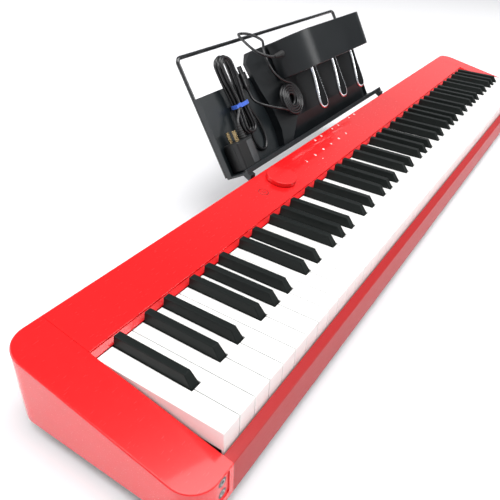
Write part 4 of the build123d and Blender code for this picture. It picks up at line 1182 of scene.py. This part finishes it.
class PIANO_OT_panel_marks(bpy.types.Operator):
    """Printed symbols over the touch controls, and the power mark on its button"""

    bl_idname = "piano.panel_marks"
    bl_label = "Panel marks"

    lower_row = (34.0, -139.4, 28.6)
    upper_row = 58.0
    upper_pairs = (-57.0, 8.0, 77.0)

    def outline(self, points, x, set_back):
        """Flat plate with a convex outline, standing a hair's breadth above the panel."""
        points = np.array(points, float)
        lift = np.array([-0.00002, sizes().mark_rise])
        flat = points * MM + (x, set_back)
        rings = np.stack([np.column_stack([flat, np.full(len(flat), rise)]) for rise in lift])
        return skin(on_panel(rings))

    def disc(self, radius, x, set_back):
        """Round plate."""
        angle = np.linspace(0, 2 * pi, 20, endpoint=False)
        return self.outline(np.column_stack([radius * np.cos(angle), radius * np.sin(angle)]), x, set_back)

    def bar(self, width, height, x, set_back, at=(0.0, 0.0)):
        """Upright bar."""
        across, up = at
        corners = [(-1, -1), (1, -1), (1, 1), (-1, 1)]
        points = [(across + i * width / 2, up + j * height / 2) for i, j in corners]
        return self.outline(points, x, set_back)

    def circle(self, inner, outer, x, set_back):
        """Ring mark."""
        centre = on_panel([(x, set_back, 0.0)])[0]
        return ring_of(centre, PANEL_NORMAL, ACROSS, inner * MM, outer * MM, -0.00002, sizes().mark_rise, 32)

    def symbol(self, number, x, set_back):
        """One of six plain symbols: note, beat, ring, triangle, square, bars."""
        if number == 0:
            stem = self.bar(0.6, 4.6, x, set_back, (0.0, 0.6))
            return [self.disc(1.3, x - 0.0012, set_back - 0.0016), stem]
        if number == 1:
            triangle = [(-2.0, -2.2), (2.0, -2.2), (0.7, 2.2), (-0.7, 2.2)]
            return [self.outline(triangle, x, set_back)]
        if number == 2:
            return [self.disc(2.1, x, set_back)]
        if number == 3:
            return [self.outline([(-1.8, -2.2), (2.4, 0.0), (-1.8, 2.2)], x, set_back)]
        if number == 4:
            return [self.bar(3.8, 3.8, x, set_back)]
        at = [(1.6 * step - 1.6, 0.7 * step - 0.7) for step in range(3)]
        return [self.bar(0.9, 1.6 + 1.4 * step, x, set_back, at[step]) for step in range(3)]

    def rows(self):
        """The lower row of six, its small pilot dot, and three pairs in the upper row."""
        set_back, first, pitch = self.lower_row
        shapes = []
        for number in range(6):
            shapes += self.symbol(number, (first + pitch * number) * MM, set_back * MM)
        shapes.append(self.disc(0.9, -0.1097, 0.0205))
        for pair, middle in enumerate(self.upper_pairs):
            shapes += self.symbol((pair * 2 + 1) % 6, (middle - 11.5) * MM, self.upper_row * MM)
            shapes += self.symbol((pair * 2 + 4) % 6, (middle + 11.5) * MM, self.upper_row * MM)
        return shapes

    def power_mark(self):
        """Open ring with an upright bar at its gap, as eleven twelfths of a circle of short bars."""
        rise = sizes().mark_rise
        angle = np.radians(np.linspace(120, 420, 25))
        inner = np.column_stack([np.cos(angle), np.sin(angle)]) * 2.2 * MM
        outer = np.column_stack([np.cos(angle), np.sin(angle)]) * 2.9 * MM
        base = (BUTTON_X, BUTTON_SET_BACK)
        corners = [(inner, -0.00002), (outer, -0.00002), (outer, rise), (inner, rise)]
        lift = 0.0003
        arcs = [np.column_stack([flat + base, np.full(len(flat), level + lift)]) for flat, level in corners]
        arc = skin(on_panel(np.stack(arcs, 1)))
        stem = [(-0.35, 0.8), (0.35, 0.8), (0.35, 3.4), (-0.35, 3.4)]
        points = np.array(stem) * MM + base
        levels = (-0.00002 + lift, rise + lift)
        bar = skin(on_panel(np.stack([np.column_stack([points, np.full(4, level)]) for level in levels])))
        return together([arc, bar])

    def execute(self, context):
        place_piece("touch_marks", together(self.rows()), "case", white_print())
        place_piece("power_mark", self.power_mark(), "power_button", grey_print())
        ring = self.circle(6.75, 7.35, BUTTON_X, BUTTON_SET_BACK)
        place_piece("power_ring", ring, "case", grey_print())
        return {"FINISHED"}


class PIANO_OT_ledge_strips(bpy.types.Operator):
    """Grip strips along the rest's ledge, which keep a book from sliding"""

    bl_idname = "piano.ledge_strips"
    bl_label = "Ledge strips"

    half_length = 0.2455
    places = (0.0262, 0.0294, 0.0326)
    half_width = 0.0009

    def execute(self, context):
        rise = sizes().strip_rise
        shapes = []
        for w in self.places:
            station = np.array([-1, -0.995, 0.995, 1]) * self.half_length
            height = np.array([0.2, 1, 1, 0.2]) * rise
            middle = on_rest([(0.0, 0.0, w)])[0]
            shapes.append(barrel(middle, ACROSS, OUT_OF_PLATE, station, self.half_width, height, 2.4, 20))
        place_piece("ledge_grips", together(shapes), "music_rest", rubber())
        return {"FINISHED"}


class PIANO_OT_jack_contacts(bpy.types.Operator):
    """Bright contact sleeves just inside the two headphone jacks"""

    bl_idname = "piano.jack_contacts"
    bl_label = "Jack contacts"

    heights = (0.0336, 0.0484)
    bore = 0.0018
    outer = 0.0031

    def execute(self, context):
        low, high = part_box("headphone_jacks")
        x = (low[0] + high[0]) / 2
        rings = []
        for height in self.heights:
            centre = (x, low[1], height)
            rings.append(ring_of(centre, (0, -1, 0), (1, 0, 0), self.bore, self.outer, -0.0015, 0.0002, 28))
        place_piece("jack_contacts", together(rings), "case", zinc())
        return {"FINISHED"}


class PIANO_OT_adapter_trim(bpy.types.Operator):
    """Blank label and the moulded seam of the power adapter"""

    bl_idname = "piano.adapter_trim"
    bl_label = "Adapter trim"

    centre = (-0.2185, 0.0222, 0.017)
    half = (0.019, 0.0215, 0.014)
    label_half = (0.0072, 0.0172)

    def label(self):
        """Thin plate with rounded corners on the adapter's outer face."""
        u, v, w = self.centre
        start = on_rest([(u + 0.0085, v, w + self.half[2] - 0.0001)])[0]
        half_across, half_up = self.label_half
        eased = np.array([1, 1, 0.985])
        levels = [0, 0.00035, 0.0004]
        return barrel(start, OUT_OF_PLATE, ACROSS, levels, eased * half_across, eased * half_up, 9.0, 48)

    def seam(self):
        """Parting line: a slim raised band round the adapter, a little back from its outer face."""
        u, v, w = self.centre
        x, z = oval(self.half[0] + 0.0002, self.half[1] + 0.0002, 11.0, 72)
        levels = [(-0.0003, 0.0), (0.0003, 0.0), (0.0003, -0.0006), (-0.0003, -0.0006)]
        outline = np.column_stack([x[0], z[0], 0 * x[0]])
        rings = []
        for up, inset in levels:
            size = (1 + inset / self.half[0], 1 + inset / self.half[1], 1)
            rings.append(outline * size + (u, v, w + 0.004 + up))
        return hoop(on_rest(np.stack(rings)))

    def execute(self, context):
        place_piece("adapter_label", self.label(), "music_rest", rating_label())
        place_piece("adapter_seam", self.seam(), "music_rest", adapter_plastic())
        return {"FINISHED"}


# ---------------------------------------------------------------- finishes of the carried nodes


def coat(node_names, material):
    """Gives CAD nodes their finish."""
    for name in node_names:
        node = frame["nodes"][name]
        if not node.material_slots:
            node.data.materials.append(material)
        for place in node.material_slots:
            place.material = material


class PIANO_OT_case_finishes(bpy.types.Operator):
    """Red lacquer, moulded lower case, sockets, screws and feet"""

    bl_idname = "piano.case_finishes"
    bl_label = "Case finishes"

    def execute(self, context):
        coat(
            ("left_cheek", "right_cheek", "top_panel", "fallboard_strip", "volume_knob", "power_button"),
            red_lacquer(),
        )
        # The front rail's darker red is painted shade
        coat(("front_rail",), front_lacquer_painted_shade())
        coat(("lower_case", "rear_panel"), case_plastic())
        coat(("rear_sockets", "headphone_jacks"), socket_plastic())
        coat(("case_screws",), zinc())
        coat(("rubber_feet",), rubber())
        return {"FINISHED"}


class PIANO_OT_key_finishes(bpy.types.Operator):
    """White and black keys"""

    bl_idname = "piano.key_finishes"
    bl_label = "Key finishes"

    def execute(self, context):
        keys = [name for name in frame["nodes"] if name.startswith(("key_", "white_keys", "black_keys"))]
        inside = ("key_pivot_shaft", "key_stop_felts", "key_contact_board")
        keys = [name for name in keys if name not in inside]
        black = [name for name in keys if "sharp" in name or name.startswith("black")]
        coat(black, black_key_plastic())
        coat([name for name in keys if name not in black], white_key_plastic())
        return {"FINISHED"}


class PIANO_OT_inside_finishes(bpy.types.Operator):
    """Chassis, pivot shaft, felts, boards and speakers"""

    bl_idname = "piano.inside_finishes"
    bl_label = "Inside finishes"

    def execute(self, context):
        coat(("keybed_chassis", "key_pivot_shaft", "volume_encoder"), zinc())
        coat(("key_stop_felts",), felt())
        coat(("key_contact_board", "main_board", "panel_board"), circuit_board())
        coat(("left_speaker", "right_speaker"), speaker_paper())
        return {"FINISHED"}


class PIANO_OT_rest_finishes(bpy.types.Operator):
    """Music rest, its wire hoop and legs, pedal unit and adapter"""

    bl_idname = "piano.rest_finishes"
    bl_label = "Rest finishes"

    def execute(self, context):
        coat(("rest_plate", "rest_legs"), rest_coat())
        coat(("rest_wire",), wire_paint())
        coat(("pedal_base", "pedal_housing"), pedal_plastic())
        coat(("pedal_axle",), zinc())
        coat(("pedal_gland",), rubber())
        coat(("adapter_body",), adapter_plastic())
        coat(("adapter_blades",), brass())
        coat(("cable_tie",), woven_tie())
        coat(("pedal_left", "pedal_centre", "pedal_right"), chrome())
        coat(("adapter_plug_tip",), nickel())
        leads = [name for name in frame["nodes"] if "lead" in name or name in ("pedal_plug", "adapter_plug")]
        coat(leads, lead_plastic())
        return {"FINISHED"}


# ---------------------------------------------------------------- panel and registration


STEPS = (
    PIANO_OT_stage,
    PIANO_OT_pedal_lead,
    PIANO_OT_adapter_lead,
    PIANO_OT_strain_reliefs,
    PIANO_OT_plugs,
    PIANO_OT_cable_tie,
    PIANO_OT_declare_leads,
    PIANO_OT_chrome_pedals,
    PIANO_OT_panel_marks,
    PIANO_OT_ledge_strips,
    PIANO_OT_jack_contacts,
    PIANO_OT_adapter_trim,
    PIANO_OT_case_finishes,
    PIANO_OT_key_finishes,
    PIANO_OT_inside_finishes,
    PIANO_OT_rest_finishes,
)


class PIANO_PT_sidebar(bpy.types.Panel):
    """Sidebar with the piano's steps in their order"""

    bl_idname = "PIANO_PT_sidebar"
    bl_label = "Slab piano"
    bl_space_type = "VIEW_3D"
    bl_region_type = "UI"
    bl_category = "Piano"

    def draw(self, context):
        for step in STEPS:
            self.layout.operator(step.bl_idname)
        for group in (context.scene.piano_sizes, context.scene.piano_colours, context.scene.piano_studio):
            box = self.layout.box()
            for name in group.bl_rna.properties.keys():
                if name not in ("rna_type", "name"):
                    box.prop(group, name)


CLASSES = (PianoSizes, PianoColours, PianoStudio, *STEPS, PIANO_PT_sidebar)


def register():
    for cls in CLASSES:
        bpy.utils.register_class(cls)
    bpy.types.Scene.piano_sizes = bpy.props.PointerProperty(type=PianoSizes)
    bpy.types.Scene.piano_colours = bpy.props.PointerProperty(type=PianoColours)
    bpy.types.Scene.piano_studio = bpy.props.PointerProperty(type=PianoStudio)


def unregister():
    del bpy.types.Scene.piano_studio
    del bpy.types.Scene.piano_colours
    del bpy.types.Scene.piano_sizes
    for cls in reversed(CLASSES):
        bpy.utils.unregister_class(cls)


def main():
    register()
    for step in STEPS:
        group, name = step.bl_idname.split(".")
        getattr(getattr(bpy.ops, group), name)()


if __name__ == "__main__":
    main()
